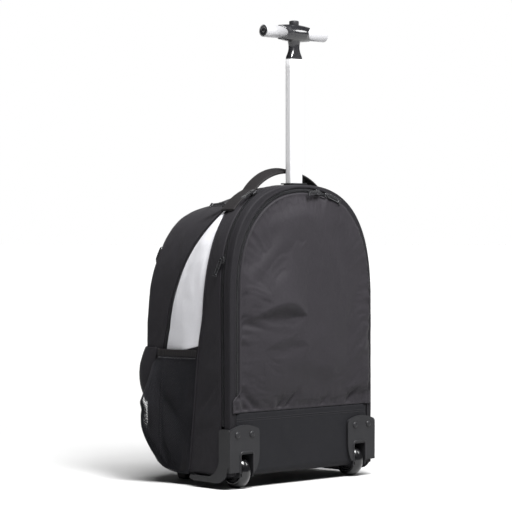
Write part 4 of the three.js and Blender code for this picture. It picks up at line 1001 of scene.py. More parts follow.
def basePoint(u, v):
    outer = shell["wallFoot"] - base["gap"] - base["thickness"]
    top = shell["baseSeam"] - base["gap"]
    corner = base["corner"]
    toeRadius = shell["toeHeight"] - outer
    straight = [top - base["wellTop"], base["wellTop"] - outer - corner, corner * math.pi / 2]
    straight += [base["wellDepth"] - corner, shell["toeDepth"] - base["wellDepth"]]
    straight.append(toeRadius * math.radians(base["toeAngle"]))
    i, start = 0, 0.0
    while i < 5 and v > start + baseStages[i] + 1e-9:
        start += baseStages[i]
        i += 1
    run = (v - start) / baseStages[i] * straight[i]
    half = base["floorHalf"]
    if i == 0:
        depth, z, out, half = 0, top - run, Vector((0, -1, 0)), base["bandHalf"]
    elif i == 1:
        depth, z, out, half = 0, base["wellTop"] - run, Vector((0, -1, 0)), base["bandHalf"]
    elif i == 2:
        turn = run / corner
        depth, z = corner * (1 - math.cos(turn)), outer + corner * (1 - math.sin(turn))
        out = Vector((0, -math.cos(turn), -math.sin(turn)))
        half = lerp(base["bandHalf"], base["floorHalf"], run / straight[2])
    elif i == 3:
        depth, z, out = corner + run, outer, Vector((0, 0, -1))
    elif i == 4:
        depth, z, out = base["wellDepth"] + run, outer, Vector((0, 0, -1))
    else:
        turn = run / toeRadius
        depth = shell["toeDepth"] + toeRadius * math.sin(turn)
        z = shell["toeHeight"] - toeRadius * math.cos(turn)
        out = Vector((0, math.sin(turn), -math.cos(turn)))
        half -= cornerInset(depth)
    x = baseAcross(u, half)
    fromTop = (top - z) if i < 2 else 60
    hem = base["lip"] * bead(fromTop, base["lipAt"], base["lipAt"])
    hem -= base["groove"] * bead(fromTop, base["hem"], base["grooveHalf"])
    band = 1 if i < 2 else base["flatShare"]
    waves = uneven((x, z, depth), base["broad"], base["fine"], 91)
    height = hem + band * ease(*base["softSpan"], fromTop) * waves
    gathers = base["pucker"] * crumple((x, z * 0.2, 0), base["puckerPitch"], 93)
    height += band * gathers * math.exp(-fromTop / base["puckerReach"])
    return Vector((x, depth, z)) + out * height


def makeBase():
    bm = shapedGrid(base["columns"], base["rows"], basePoint, base["flat"])
    inWell = []
    for face in bm.faces:
        spot = face.calc_center_median() / mm
        depth = spot.y + shell["centreDepth"]
        across = base["wellInner"] - 1 < abs(spot.x) < base["wellOuter"] + 1
        if across and depth < base["wellDepth"] and spot.z < base["wellTop"]:
            inWell.append(face)
    bmesh.ops.delete(bm, geom=inWell, context="FACES")
    faceOutwards(bm, lambda spot: Vector((0, -1, -1)) if spot.y < 0.02 else Vector((0, 1, -1)))
    wallOf(finishPiece(bm, "base_cloth", baseCloth, replaced=["base_panel"]), base["thickness"])


makeBase()
print("base sewn")


def runningLengths(spots):
    lengths = [0.0]
    for before, after in zip(spots, spots[1:]):
        lengths.append(lengths[-1] + (after - before).length)
    return lengths


# runs along a seam, sampled evenly by length
class SeamRun:
    def __init__(self, placeAt, low, high, steps=500):
        self.placeAt = placeAt
        self.shares = [lerp(low, high, i / steps) for i in range(steps + 1)]
        self.lengths = runningLengths([placeAt(share)[0] for share in self.shares])
        self.length = self.lengths[-1]

    def at(self, distance):
        distance = min(max(distance, 0), self.length)
        low, high = 0, len(self.lengths) - 1
        while high - low > 1:
            middle = (low + high) // 2
            low, high = (middle, high) if self.lengths[middle] <= distance else (low, middle)
        t = (distance - self.lengths[low]) / max(self.lengths[high] - self.lengths[low], 1e-9)
        share = lerp(self.shares[low], self.shares[high], t)
        spot, across, out = self.placeAt(share)
        return spot, across, out, out.cross(across).normalized()


def harnessPlace(share):
    inset = seamsAt(share)["harnessInset"]
    return outlinePoint(share, 0, inset), outlineNormal(share, 0), Vector((0, -1, 0))


def gussetPlace(seam):
    def place(share):
        depth = seamsAt(share)[seam]
        return outlinePoint(share, depth), Vector((0, 1, 0)), outlineNormal(share, depth)
    return place


def stripAlong(run, step, rows, section, flatWidth, closed=False):
    def surface(u, v):
        spot, across, out, _ = run.at(u * run.length)
        aside, up = section(v, u * run.length)
        return spot + across * aside + out * up

    columns = max(2, int(run.length / step))
    return shapedGrid(columns, rows, surface, (run.length * mm, flatWidth * mm), closed)


def addShapes(bm, shape, matrices):
    for matrix in matrices:
        before = len(bm.verts)
        bm.from_mesh(shape)
        bm.verts.ensure_lookup_table()
        bmesh.ops.transform(bm, matrix=matrix, verts=bm.verts[before:])


def basis(spot, along, across, out):
    frameOf = Matrix((along, across, out)).transposed().to_4x4()
    frameOf.translation = toFrame(spot)
    return frameOf


# zips: tape, two rows of teeth and the cloth welts on both sides
zips = {
    "tapeHalf": 5.4, "tapeDrop": 1.3, "tapeStep": 5, "tapeRows": 28, "tapeRib": 0.25, "tapeRibs": 7,
    "tapeWall": 0.6, "pitch": 1.7, "toothReach": 2.7, "toothLength": 0.95, "toothHeight": 1.5,
    "toothEdge": 0.28, "toothSink": 0.55, "toothLean": 0.12, "toothAt": 0.42,
    "weltAt": 4.9, "weltRadius": 1.35, "weltSink": 0.9, "weltSweep": 1.3, "weltStep": 4, "weltRows": 8,
    "weltWall": 0.5, "weltFlat": 5,
}
zipRows = [
    {
        "name": "harness_zip", "place": harnessPlace, "facing": towardsBack,
        "low": shareAtHeight(cover["zipEnd"] - 2),
    },
    {
        "name": "laptop_zip", "place": gussetPlace("laptopZip"), "facing": awayFromMiddle,
        "low": shareAtHeight(101),
    },
    {
        "name": "front_zip", "place": gussetPlace("frontZip"), "facing": awayFromMiddle,
        "low": shareAtHeight(26),
    },
]


def makeTooth():
    bm = bmesh.new()
    bmesh.ops.create_cube(bm, size=1)
    size = Vector((zips["toothLength"], zips["toothReach"], zips["toothHeight"])) * mm
    bmesh.ops.scale(bm, vec=size, verts=bm.verts)
    edge = zips["toothEdge"] * mm
    bmesh.ops.bevel(bm, geom=bm.edges, offset=edge, segments=1, profile=0.5, affect="EDGES", material=-1)
    bm.loops.layers.uv.new("cloth")
    tooth = bpy.data.meshes.new("tooth")
    bm.to_mesh(tooth)
    bm.free()
    return tooth


def tapeSection(v, distance):
    rib = zips["tapeRib"] * math.cos(v * 2 * zips["tapeRibs"] * math.pi)
    return (v - 0.5) * 2 * zips["tapeHalf"], -zips["tapeDrop"] + rib


def weltSection(side):
    def section(v, distance):
        turn = (v - 0.5) * math.pi * zips["weltSweep"]
        reach = zips["weltRadius"] + 0.12 * crumple((distance, side, 0), 14, 95)
        return side * zips["weltAt"] + reach * math.sin(turn), -zips["weltSink"] + reach * math.cos(turn)

    return section


def makeTeeth(run, name, tooth):
    bm = bmesh.new()
    bm.loops.layers.uv.new("cloth")
    places = []
    for k in range(int(run.length / zips["pitch"])):
        for side, lag in ((-1, 0), (1, 0.5)):
            spot, across, out, along = run.at((k + lag + 0.25) * zips["pitch"])
            spot = spot + across * side * zips["toothReach"] * zips["toothAt"] - out * zips["toothSink"]
            lean = (along + across * side * zips["toothLean"]).normalized()
            places.append(basis(spot, lean, out.cross(lean), out))
    addShapes(bm, tooth, places)
    finishPiece(bm, f"{name}_teeth", zipCoil)


def makeZips():
    tooth = makeTooth()
    for row in zipRows:
        name = row["name"]
        run = SeamRun(row["place"], row["low"], 1 - row["low"])
        bm = stripAlong(run, zips["tapeStep"], zips["tapeRows"], tapeSection, 2 * zips["tapeHalf"])
        faceOutwards(bm, row["facing"])
        wallOf(finishPiece(bm, f"{name}_tape", zipTape, replaced=[name]), zips["tapeWall"])
        makeTeeth(run, name, tooth)
        for side, label in ((-1, "a"), (1, "b")):
            bm = stripAlong(run, zips["weltStep"], zips["weltRows"], weltSection(side), zips["weltFlat"])
            faceOutwards(bm, row["facing"])
            wallOf(finishPiece(bm, f"{name}_welt_{label}", nylon), zips["weltWall"])


makeZips()
print("zips sewn")


# piping along the seam between the main gusset and the sides
piping = {"radius": 1.5, "rise": 0.7, "step": 4, "rows": 12, "foot": 0.002}


def pipingSection(v, distance):
    turn = 2 * math.pi * v
    return piping["radius"] * math.sin(turn), piping["rise"] - piping["radius"] * math.cos(turn)


def makePiping():
    tip, foot = shell["wedgeTip"] / 2, piping["foot"]
    for label, low, high in (("left", foot, tip), ("right", 1 - tip, 1 - foot)):
        run = SeamRun(gussetPlace("gusset"), low, high)
        bm = stripAlong(run, piping["step"], piping["rows"], pipingSection, 9, closed=True)
        closeEnds(bm)
        finishPiece(bm, f"side_piping_{label}", nylon)


makePiping()
print("piping sewn")


# moulded pieces: a merged copy of the frame's own node with rounded edges
def roundedCopy(node, name, material, body, bevel, segments=2, angle=32):
    bm = bmesh.new()
    bm.from_mesh(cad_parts[node].data)
    bmesh.ops.remove_doubles(bm, verts=bm.verts, dist=2e-6)
    bmesh.ops.dissolve_limit(bm, angle_limit=math.radians(1.2), verts=bm.verts, edges=bm.edges)
    sharp = [edge for edge in bm.edges if edge.is_manifold and edge.calc_face_angle(0) > math.radians(angle)]
    bmesh.ops.bevel(
        bm, geom=sharp, offset=bevel * mm, segments=segments, profile=0.5, affect="EDGES", material=-1,
        clamp_overlap=True,
    )
    bmesh.ops.triangulate(bm, faces=[face for face in bm.faces if len(face.verts) > 4])
    piece = finishPiece(bm, name, material, body, [node])
    piece.data.set_sharp_from_angle(angle=math.radians(40))
    weighted = piece.modifiers.new("normals", "WEIGHTED_NORMAL")
    weighted.keep_sharp = True
    return piece


def makePulls():
    for label in ("harness_a", "harness_b", "laptop_side", "laptop_top", "front"):
        roundedCopy(f"zip_slider_{label}", f"slider_{label}", pullMetal, "bag", 0.9)
        roundedCopy(f"zip_pull_{label}", f"pull_{label}", pullMetal, "bag", 0.45)


makePulls()
print("zip pulls made")

# turned pieces: a profile of (along, radius) spun about an axis, given as the ways along and across it
spinAxes = {
    "X": (Vector((1, 0, 0)), Vector((0, 0, 1))),
    "Y": (Vector((0, -1, 0)), Vector((0, 0, 1))),
    "Z": (Vector((0, 0, 1)), Vector((0, -1, 0))),
}


def spun(profile, axis, centre, steps, closed=False):
    bm = bmesh.new()
    along, across = spinAxes[axis]
    verts = [bm.verts.new((along * a + across * r) * mm) for a, r in profile]
    edges = [bm.edges.new(pair) for pair in zip(verts, verts[1:])]
    if closed:
        edges.append(bm.edges.new((verts[-1], verts[0])))
    bmesh.ops.spin(
        bm, geom=verts + edges, cent=(0, 0, 0), axis=along, angle=2 * math.pi, steps=steps, use_merge=True,
    )
    bmesh.ops.remove_doubles(bm, verts=bm.verts, dist=1e-6)
    bmesh.ops.recalc_face_normals(bm, faces=bm.faces)
    bmesh.ops.translate(bm, vec=centre, verts=bm.verts)
    return bm


def arcPoints(centre, radius, start, end, count):
    angles = [math.radians(lerp(start, end, i / count)) for i in range(count + 1)]
    return [(centre[0] + radius * math.sin(a), centre[1] + radius * math.cos(a)) for a in angles]


# trolley handle: drawn tube, moulded grip with metal sleeves, button
trolley = {
    "depth": 21, "width": 28, "thickness": 15, "corner": 3.6, "wall": 1.3, "foot": 335, "top": 697,
    "rivet": 689, "flat": (0.08, 0.36), "neckFlat": (0.07, 0.04), "sleeveWall": 1.3, "plugDepth": 14,
    "gripHeight": 740, "barrelHalf": 36, "barrelRadius": 14.6, "barrelEnd": 11.6, "scallop": 12,
    "socketRadius": 10.6, "socketDepth": 21, "sleeveRadius": 10.3, "sleeveReach": 70.5, "voxel": 0.75,
}
neckRows = [
    {"z": 697.3, "width": 28.4, "thickness": 15.4, "corner": 3.6},
    {"z": 702, "width": 27, "thickness": 15, "corner": 4.5},
    {"z": 708, "width": 22.6, "thickness": 14.6, "corner": 6},
    {"z": 715, "width": 19.4, "thickness": 14.6, "corner": 6.6},
    {"z": 721, "width": 20, "thickness": 15, "corner": 6.8},
    {"z": 729, "width": 23, "thickness": 16.4, "corner": 7},
    {"z": 738, "width": 27, "thickness": 18, "corner": 7},
]
gripCentre = toFrame((0, trolley["depth"], trolley["gripHeight"]))


def roundedSection(width, thickness, corner, t):
    straight = [width - 2 * corner, thickness - 2 * corner] * 2
    arc = corner * math.pi / 2
    run = (t % 1) * (sum(straight) + 4 * arc)
    x, y, heading = -width / 2 + corner, -thickness / 2, 0.0
    for side in straight:
        if run <= side:
            return x + run * math.cos(heading), y + run * math.sin(heading)
        run -= side
        x, y = x + side * math.cos(heading), y + side * math.sin(heading)
        middle = (x - corner * math.sin(heading), y + corner * math.cos(heading))
        if run <= arc:
            turn = heading + run / corner - math.pi / 2
            return middle[0] + corner * math.cos(turn), middle[1] + corner * math.sin(turn)
        run -= arc
        heading += math.pi / 2
        x = middle[0] + corner * math.cos(heading - math.pi / 2)
        y = middle[1] + corner * math.sin(heading - math.pi / 2)
    return x, y


def makeTube():
    def tubePoint(u, v):
        x, y = roundedSection(trolley["width"], trolley["thickness"], trolley["corner"], u)
        return Vector((x, trolley["depth"] + y, lerp(trolley["foot"], trolley["top"], v)))

    bm = shapedGrid(72, 24, tubePoint, trolley["flat"], closed=True)
    middle = toFrame((0, trolley["depth"], 0))
    faceOutwards(bm, lambda spot: Vector((spot.x, spot.y - middle.y, 0)))
    piece = finishPiece(bm, "drawn_tube", tubeMetal, "handle", ["trolley_tube"])
    wallOf(piece, trolley["wall"])
    face = trolley["depth"] - trolley["thickness"] / 2
    profile = [(0.15, 0), (0.15, 0.9), (0, 1.7), (-0.8, 1.9), (-1.2, 1.9), (-1.2, 0)]
    bm = spun(profile, "Y", toFrame((0, face, trolley["rivet"])), 24)
    finishPiece(bm, "tube_pin", pinSteel, "handle", ["tube_rivet"])


def barrelRadius(x):
    return lerp(trolley["barrelRadius"], trolley["barrelEnd"], (x / trolley["barrelHalf"]) ** 2)


def makeBarrel():
    half, bore = trolley["barrelHalf"], trolley["socketRadius"]
    xs = [-1, -0.985, -0.9, -0.7, -0.5, -0.25, 0, 0.25, 0.5, 0.7, 0.9, 0.985, 1]
    profile = [(-trolley["socketDepth"], 0), (-trolley["socketDepth"], bore), (-half * 0.99, bore)]
    profile += [(half * x, barrelRadius(half * x) - (0.7 if abs(x) == 1 else 0)) for x in xs]
    profile += [(half * 0.99, bore), (trolley["socketDepth"], bore), (trolley["socketDepth"], 0)]
    bm = spun(profile, "X", Vector(), 64)
    for vert in bm.verts:
        reach = abs(vert.co.x) / mm
        if reach > trolley["socketDepth"] + 0.5:
            swing = vert.co.y / max(math.hypot(vert.co.y, vert.co.z), 1e-6)
            scoop = swing * swing * min(1, (reach - trolley["socketDepth"]) / 15 + 0.4)
            vert.co.x *= 1 - trolley["scallop"] / half * scoop
    bmesh.ops.translate(bm, vec=gripCentre, verts=bm.verts)
    bmesh.ops.recalc_face_normals(bm, faces=bm.faces)
    return bm


def neckPoint(u, v):
    row = readTable(neckRows, "z", lerp(neckRows[0]["z"], neckRows[-1]["z"], v))
    x, y = roundedSection(row["width"], row["thickness"], row["corner"], u)
    return Vector((x, trolley["depth"] + y, row["z"]))


def makeGrip():
    bm = makeBarrel()
    neck = shapedGrid(64, 30, neckPoint, trolley["neckFlat"], closed=True)
    closeEnds(neck)
    mesh = bpy.data.meshes.new("neck")
    neck.to_mesh(mesh)
    neck.free()
    bm.from_mesh(mesh)
    piece = finishPiece(bm, "grip_barrel", glossPlastic, "handle", ["grip_core"])
    remesh = piece.modifiers.new("blend", "REMESH")
    remesh.mode = "VOXEL"
    remesh.voxel_size = trolley["voxel"] * mm
    remesh.use_smooth_shade = True
    soft = piece.modifiers.new("soften", "CORRECTIVE_SMOOTH")
    soft.iterations = 6
    soft.use_only_smooth = True


def makeSleeves():
    outer, reach = trolley["sleeveRadius"], trolley["sleeveReach"]
    inner = outer - trolley["sleeveWall"]
    start, back = trolley["socketDepth"] + 0.4, reach - trolley["plugDepth"]
    ring = [(start, inner), (start, outer), (reach - 0.9, outer)]
    ring += arcPoints((reach - 0.9, outer - 0.7), 0.7, 20, 90, 4) + [(reach, inner)]
    plug = [(back, 0), (back, inner - 0.3), (reach - 0.4, inner - 0.3), (reach + 0.3, inner - 1.1)]
    plug += [(reach + 0.3, inner - 2.2), (reach - 0.3, inner - 2.7), (reach - 0.3, 2)]
    plug += [(reach, 1.6), (reach, 0)]
    for side, label in bothSides:
        sleeve, end = f"grip_sleeve_{label}", f"grip_plug_{label}"
        bm = spun([(side * a, r) for a, r in ring], "X", gripCentre, 64, closed=True)
        finishPiece(bm, f"{sleeve}_tube", sleeveMetal, "handle", [sleeve])
        bm = spun([(side * a, r) for a, r in plug], "X", gripCentre, 48)
        finishPiece(bm, f"{end}_cap", glossPlastic, "handle", [end])


def makeButton():
    button = [(747.5, 0), (747.5, 8), (759, 8)] + arcPoints((759, 6.6), 1.4, 0, 80, 5)
    button += [(760.9, 4.6), (760.5, 2.5), (760.3, 0)]
    bm = spun(button, "Z", toFrame((0, trolley["depth"], 0)), 48)
    finishPiece(bm, "release_button_cap", housingPlastic, "button", ["release_button"])


makeTube()
makeGrip()
makeSleeves()
makeButton()
roundedCopy("handle_socket", "handle_collar", housingPlastic, "bag", 0.7)
print("trolley handle made")

# wheels: glossy tyre on a ribbed hub, axle, housing and bolts
wheel = {
    "x": 131, "depth": 20, "radius": 27, "half": 10.5, "wall": 20.4, "crown": 7, "crownSweep": 72,
    "hub": 16, "hubHalf": 8, "rim": 14, "dish": 13, "axle": 4, "axleHalf": 12,
    "spokes": 6, "spoke": (1.8, 2.2, 6.4), "spokeAt": 10.4,
}
housing = {
    "back": -4.5, "slotHalf": 13.2, "slotTop": 59, "slotFoot": 26, "slotCorner": 5.0,
    "lip": 1.7, "lipStand": 1.2, "lipShare": 0.75, "boltZ": 88, "boltX": [120, 152],
}
boltProfile = [(0, 5.3), (0.5, 5.3), (1.2, 4.9), (1.9, 3.9), (2.35, 2.4), (2.45, 1.2), (2.2, 0)]


def mirrored(profile):
    return profile + [(-a, r) for a, r in reversed(profile)]


def tyreProfile():
    half, hub, crown = wheel["half"], wheel["hub"] + 0.4, wheel["crown"]
    left = [(-half + 1, hub), (-half, hub + 0.8), (-half, wheel["wall"])]
    sweep = wheel["crownSweep"]
    tread = arcPoints((0, wheel["radius"] - crown), crown, -sweep, sweep, 14)
    return left + [(a * (half / crown), r) for a, r in tread] + [(-a, r) for a, r in reversed(left)]


def makeHub(centre):
    half, axle = wheel["hubHalf"], wheel["axle"]
    core = [(-half - 1.8, axle + 0.4), (-half - 1.8, axle + 3.4), (-half + 1, axle + 4.6)]
    core += [(-half + 1, wheel["dish"]), (-half - 0.6, wheel["rim"]), (-half - 0.6, wheel["hub"])]
    bm = spun(mirrored(core), "X", centre, 64, closed=True)
    for face in (-1, 1):
        for k in range(wheel["spokes"]):
            made = bmesh.ops.create_cube(bm, size=1)["verts"]
            bmesh.ops.scale(bm, vec=Vector(wheel["spoke"]) * mm, verts=made)
            bmesh.ops.translate(bm, vec=Vector((face * (half - 0.6), 0, wheel["spokeAt"])) * mm, verts=made)
            spin = Matrix.Rotation(2 * math.pi * k / wheel["spokes"], 3, "X")
            bmesh.ops.rotate(bm, cent=(0, 0, 0), matrix=spin, verts=made)
            bmesh.ops.translate(bm, vec=centre, verts=made)
    return bm


def makeWheels():
    end, radius = wheel["axleHalf"], wheel["axle"]
    pin = mirrored([(-end - 0.6, 0), (-end - 0.6, radius - 0.6), (-end, radius)])
    for side, label in bothSides:
        centre = toFrame((side * wheel["x"], wheel["depth"], wheel["radius"]))
        body = f"wheel_{label}"
        bm = spun(tyreProfile(), "X", centre, 96, closed=True)
        finishPiece(bm, f"tyre_{label}_rubber", wheelRubber, body, [f"tyre_{label}"])
        bm = makeHub(centre)
        piece = finishPiece(bm, f"hub_{label}", housingPlastic, body, [f"wheel_hub_{label}"])
        piece.data.set_sharp_from_angle(angle=math.radians(35))
        bm = spun(pin, "X", centre, 32)
        finishPiece(bm, f"axle_{label}_pin", pinSteel, "bag", [f"axle_{label}"])


def makeHousings():
    for side, label in bothSides:
        moulding = f"wheel_housing_{label}"
        roundedCopy(moulding, f"housing_{label}", housingPlastic, "bag", 1.6, 3, 34)
        for k, x in enumerate(housing["boltX"], 1):
            spot = toFrame((side * x, housing["back"] - 0.1, housing["boltZ"]))
            bm = spun(boltProfile, "Y", spot, 36)
            name = f"housing_bolt_{k}_{label}"
            finishPiece(bm, f"{name}_head", housingPlastic, "bag", [name])
        roundedCopy(f"front_foot_{label}", f"foot_{label}", softRubber, "bag", 1.4, 3, 30)


# along the slot's edge, up one leg, over the top and down the other: across, up and heading
def slotPlace(distance):
    half, top, foot, corner = (housing[key] for key in ("slotHalf", "slotTop", "slotFoot", "slotCorner"))
    legs = top - foot - corner
    arc = corner * math.pi / 2
    bar = 2 * (half - corner)
    total = 2 * legs + 2 * arc + bar
    run = distance * total
    if run < legs:
        return -half, foot + run, 0.0
    if run < legs + arc:
        turn = (run - legs) / corner
        return -half + corner * (1 - math.cos(turn)), top - corner * (1 - math.sin(turn)), turn
    if run < legs + arc + bar:
        return -half + corner + run - legs - arc, top, math.pi / 2
    if run < legs + 2 * arc + bar:
        turn = (run - legs - arc - bar) / corner
        x, z = half - corner * (1 - math.sin(turn)), top - corner * (1 - math.cos(turn))
        return x, z, math.pi / 2 + turn
    return half, foot + total - run, math.pi


def slotLipPoint(side):
    def point(u, v):
        x, z, heading = slotPlace(u)
        turn = 2 * math.pi * v
        outward = Vector((-math.cos(heading), 0, math.sin(heading)))
        edge = Vector((side * wheel["x"] + x, housing["back"], z))
        edge = edge + outward * (housing["lipStand"] + housing["lip"] * math.cos(turn))
        return edge + Vector((0, -1, 0)) * housing["lip"] * housing["lipShare"] * math.sin(turn)

    return point


def makeSlotLips():
    for side, label in bothSides:
        bm = shapedGrid(90, 14, slotLipPoint(side), (0.1, 0.01), closed=True)
        closeEnds(bm)
        finishPiece(bm, f"slot_lip_{label}", housingPlastic)


makeWheels()
makeHousings()
makeSlotLips()
print("running gear made")

# grab handle of ribbed webbing over the crown
grab = {
    "depth": 48, "width": 30, "thickness": 3, "corner": 1.2, "rootShare": 0.374, "liftShare": 0.436,
    "crown": 515.5, "tilt": 13, "ribPitch": 4.1, "rib": 0.8, "flatRound": 0.066, "rows": 40,
}


def grabPath():
    rear = grab["depth"] - grab["width"] / 2

    def onCloth(share):
        spot = outlinePoint(share, rear) + outlineNormal(share, rear) * (0.5 + grab["thickness"] / 2)
        return Vector((spot.x, grab["depth"], spot.z))

    root = [onCloth(lerp(grab["rootShare"], grab["liftShare"], i / 8)) for i in range(9)]
    lift = root.pop()
    top = grab["crown"] - grab["thickness"] / 2
    radius = (lift.x ** 2 + (top - lift.z) ** 2) / (2 * (top - lift.z))
    sweep = math.asin(-lift.x / radius)
    arc = []
    for i in range(121):
        a = lerp(-sweep, sweep, i / 120)
        arc.append(Vector((radius * math.sin(a), grab["depth"], top - radius * (1 - math.cos(a)))))
    flipped = [Vector((-spot.x, spot.y, spot.z)) for spot in reversed(root)]
    return root + arc + flipped, lift


def makeGrabHandle():
    path, lift = grabPath()
    lengths = runningLengths(path)
    total = lengths[-1]

    def place(distance):
        i = 0
        while i < len(path) - 2 and lengths[i + 1] < distance:
            i += 1
        t = (distance - lengths[i]) / (lengths[i + 1] - lengths[i])
        spot = path[i].lerp(path[i + 1], t)
        run = (path[min(i + 2, len(path) - 1)] - path[max(i - 1, 0)]).normalized()
        tilt = math.radians(grab["tilt"]) * max(math.cos(spot.x / lift.x * math.pi / 2), 0)
        across = Matrix.Rotation(tilt, 3, run) @ Vector((0, 1, 0))
        return spot, across, run.cross(across).normalized()

    def strapPoint(u, v):
        distance = u * total
        spot, across, out = place(distance)
        aside, up = roundedSection(grab["width"], grab["thickness"], grab["corner"], v)
        rib = grab["rib"] * math.cos(2 * math.pi * distance / grab["ribPitch"]) * ease(15, 12.6, abs(aside))
        wave = 0.5 * crumple((distance, 0, 0), 60, 99)
        return spot + across * (aside + wave * 0.4) + out * (up + math.copysign(rib, up))

    steps = int(total / grab["ribPitch"] * 5)
    bm = shapedGrid(steps, grab["rows"], strapPoint, (total * mm, grab["flatRound"]), closed=True)
    closeEnds(bm)
    finishPiece(bm, "grab_strap", strapWebbing, replaced=["grab_handle"])


makeGrabHandle()
print("grab handle made")

# mesh side pockets: an open net of threads, its elastic hem and the zigzag stitch below it
net = {
    "cell": 4.2, "thread": 1.3, "width": 150, "height": 196, "top": 209.6, "climb": 0.34, "overPocket": 8.5,
    "sag": 3, "cornerLift": 2.4, "skew": 2.2, "gap": 0.6,
    "hemHeight": 11, "hemThickness": 2.2, "hemFlat": (0.11, 0.026), "ripple": 0.35, "ripples": 150,
}
netEdges = [
    {"rise": 0, "front": 184, "swell": 4},
    {"rise": 0.12, "front": 198, "swell": 18},
    {"rise": 0.25, "front": 206, "swell": 28},
    {"rise": 0.37, "front": 208, "swell": 30},
    {"rise": 0.43, "front": 207, "swell": 29},
    {"rise": 0.51, "front": 204, "swell": 27},
    {"rise": 0.62, "front": 198, "swell": 23},
    {"rise": 0.8, "front": 186, "swell": 17},
    {"rise": 1, "front": 174, "swell": 9},
]
netFolds = [
    {"x": 0.5, "z": 0.3, "turn": 82, "length": 0.3, "width": 0.05, "depth": 5, "skew": 0},
    {"x": 0.42, "z": 0.55, "turn": 32, "length": 0.26, "width": 0.05, "depth": 3.2, "skew": 0},
    {"x": 0.62, "z": 0.5, "turn": 60, "length": 0.22, "width": 0.045, "depth": -2.4, "skew": 0},
    {"x": 0.7, "z": 0.78, "turn": 66, "length": 0.2, "width": 0.05, "depth": 2.2, "skew": 0},
    {"x": 0.3, "z": 0.75, "turn": 50, "length": 0.2, "width": 0.05, "depth": 1.6, "skew": 0},
]


def netPoint(a, b, side):
    row = readTable(netEdges, "rise", b)
    share = net["climb"] * b / 2
    depth = lerp(seamsAt(share)["gusset"] + 2, row["front"], a)
    z = lerp(wallFoot(depth) - net["sag"], net["top"], b)
    cornerRun = max(0, depth - (shell["frontDepth"] - shell["frontCorner"]))
    body = shell["halfWidth"] - cornerInset(depth)
    besidePocket = ease(166, 180, depth) * ease(pocket["foot"] - 14, pocket["foot"] + 4, z)
    body += net["overPocket"] * besidePocket * ease(1, 0.9, b)
    out = row["swell"] * math.sin(math.pi * a ** net["skew"])
    loose = ease(0, 10, out)
    out += loose * (foldHeight(a, b, netFolds) + 1.4 * crumple((a * 120, b * 190, side), 34, 101))
    x = body + net["gap"] + min(net["cornerLift"], cornerRun / 4) + max(out, 0)
    return Vector((side * x, depth, z))


def makeNets():
    for side, label in bothSides:
        bm = bmesh.new()
        reach = (net["width"] + net["height"]) / 2
        cells = int(2 * reach / (net["cell"] * math.sqrt(0.5)))
        bmesh.ops.create_grid(bm, x_segments=cells, y_segments=cells, size=reach)
        bmesh.ops.rotate(bm, cent=(0, 0, 0), matrix=Matrix.Rotation(math.pi / 4, 3, "Z"), verts=bm.verts)
        for axis, half in ((Vector((1, 0, 0)), net["width"] / 2), (Vector((0, 1, 0)), net["height"] / 2)):
            for sign in (-1, 1):
                geom = list(bm.verts) + list(bm.edges) + list(bm.faces)
                out = axis * sign
                bmesh.ops.bisect_plane(
                    bm, geom=geom, dist=1e-5, plane_co=axis * half * sign, plane_no=out, clear_outer=True,
                )
        layer = bm.loops.layers.uv.new("cloth")
        for face in bm.faces:
            for loop in face.loops:
                loop[layer].uv = loop.vert.co.xy * mm
        for vert in bm.verts:
            a = min(max(vert.co.x / net["width"] + 0.5, 0), 1)
            b = min(max(vert.co.y / net["height"] + 0.5, 0), 1)
            vert.co = toFrame(netPoint(a, b, side))
        faceOutwards(bm, lambda spot: Vector((spot.x, 0, 0)))
        piece = finishPiece(bm, f"net_{label}", netThread, replaced=[f"mesh_pocket_{label}"])
        wire = piece.modifiers.new("threads", "WIREFRAME")
        wire.thickness = net["thread"] * mm
        wire.use_even_offset = False
        wire.use_boundary = True


def makeHems():
    for side, label in bothSides:
        def hemPoint(u, v):
            spot = netPoint(u, 1, side)
            aside, up = roundedSection(net["hemHeight"], net["hemThickness"], 0.9, v)
            ripple = net["ripple"] * math.sin(u * net["ripples"]) * ease(5.4, 4, abs(aside)) if up < 0 else 0
            middle = Vector((side * (0.3 + net["hemThickness"] / 2 - up + ripple), 0, 0))
            return spot + middle + Vector((0, 0, net["hemHeight"] / 2 + aside))

        bm = shapedGrid(160, 30, hemPoint, net["hemFlat"], closed=True)
        closeEnds(bm)
        finishPiece(bm, f"hem_{label}", strapWebbing, replaced=[f"pocket_hem_{label}"])


makeNets()
makeHems()
print("mesh pockets knitted")

# stitches: short rounded threads along the seams
stitch = {"length": 2.7, "gap": 1.0, "radius": 0.34, "bandHalf": 150, "secondRow": 3.2}
zigzag = {"turns": 30, "start": 0.03, "span": 0.92, "top": 0.992, "swing": 0.013, "stand": 0.7}


def makeStitchShape():
    bm = bmesh.new()
    bmesh.ops.create_uvsphere(bm, u_segments=6, v_segments=4, radius=1)
    bmesh.ops.rotate(bm, cent=(0, 0, 0), matrix=Matrix.Rotation(math.pi / 2, 3, "Y"), verts=bm.verts)
    size = Vector((stitch["length"] / 2, stitch["radius"], stitch["radius"])) * mm
    bmesh.ops.scale(bm, vec=size, verts=bm.verts)
    bm.loops.layers.uv.new("cloth")
    mesh = bpy.data.meshes.new("stitch")
    bm.to_mesh(mesh)
    bm.free()
    return mesh


def sewLine(bm, shape, spots, outs):
    pitch = stitch["length"] + stitch["gap"]
    lengths = runningLengths(spots)
    places = []
    i = 0
    for k in range(int(lengths[-1] / pitch)):
        distance = (k + 0.5) * pitch
        while lengths[i + 1] < distance:
            i += 1
        t = (distance - lengths[i]) / (lengths[i + 1] - lengths[i])
        along = (spots[i + 1] - spots[i]).normalized()
        out = (outs[i] - along * outs[i].dot(along)).normalized()
        places.append(basis(spots[i].lerp(spots[i + 1], t), along, out.cross(along), out))
    addShapes(bm, shape, places)


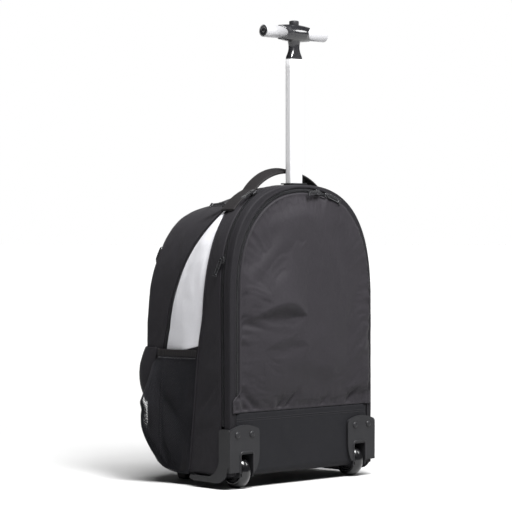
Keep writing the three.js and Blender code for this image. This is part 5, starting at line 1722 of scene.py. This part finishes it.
def newThread():
    bm = bmesh.new()
    bm.loops.layers.uv.new("cloth")
    return bm


def makeStitches():
    shape = makeStitchShape()
    bm = newThread()
    back = Vector((0, -1, 0))
    low = shareAtHeight(cover["zipEnd"] + 8)
    edge = []
    for i in range(401):
        share = lerp(low, 1 - low, i / 400)
        inset = seamsAt(share)["harnessInset"] + shell["halfZip"] + shell["seamGap"] + cover["hem"]
        edge.append(outlinePoint(share, -0.4, inset))
    sewLine(bm, shape, edge, [back] * len(edge))
    half = stitch["bandHalf"]
    for drop in (base["hem"], base["hem"] + stitch["secondRow"]):
        z = shell["baseSeam"] - base["gap"] - drop
        band = [Vector((lerp(-half, half, i / 150), -0.3, z)) for i in range(151)]
        sewLine(bm, shape, band, [back] * len(band))
    finishPiece(bm, "seam_stitches", seamThread)
    turns = zigzag["turns"]
    for side, label in bothSides:
        bm = newThread()
        spots = []
        for k in range(turns + 1):
            along = zigzag["start"] + zigzag["span"] * k / turns
            spot = netPoint(along, zigzag["top"] - zigzag["swing"] * (k % 2), side)
            spots.append(spot + Vector((side * zigzag["stand"], 0, 0)))
        sewLine(bm, shape, spots, [Vector((side, 0, 0))] * len(spots))
        finishPiece(bm, f"hem_zigzag_{label}", paleThread)


makeStitches()
print("stitches sewn")

# cable port: a ribbed rubber patch on the left front shoulder
port = {
    "low": 0.329, "high": 0.352, "turns": (20, 64), "flat": (0.033, 0.017),
    "thickness": 1.8, "wall": 0.4, "ribs": 5, "ribDepth": 0.7,
}


def portPoint(u, v):
    share = lerp(port["low"], port["high"], u)
    angle = math.radians(lerp(*port["turns"], v))
    corner = shell["frontCorner"]
    depth = shell["frontDepth"] - corner * (1 - math.sin(angle))
    spot = outlinePoint(share, depth, corner * (1 - math.cos(angle)))
    out = outlineNormal(share, depth) * math.cos(angle) + Vector((0, 1, 0)) * math.sin(angle)
    edge = min(u, 1 - u, v, 1 - v)
    height = 0.4 + port["thickness"] * ease(0, 0.14, edge)
    groove = 0.5 + 0.5 * math.cos(2 * math.pi * port["ribs"] * u)
    height -= port["ribDepth"] * groove * ease(0.12, 0.25, edge)
    return spot + out * height


def makePort():
    bm = shapedGrid(60, 30, portPoint, port["flat"])
    faceOutwards(bm, lambda spot: Vector((-1, 1, 0)))
    piece = finishPiece(bm, "cable_port_patch", softRubber, replaced=["cable_port"])
    wallOf(piece, port["wall"])


makePort()
print("cable port made")
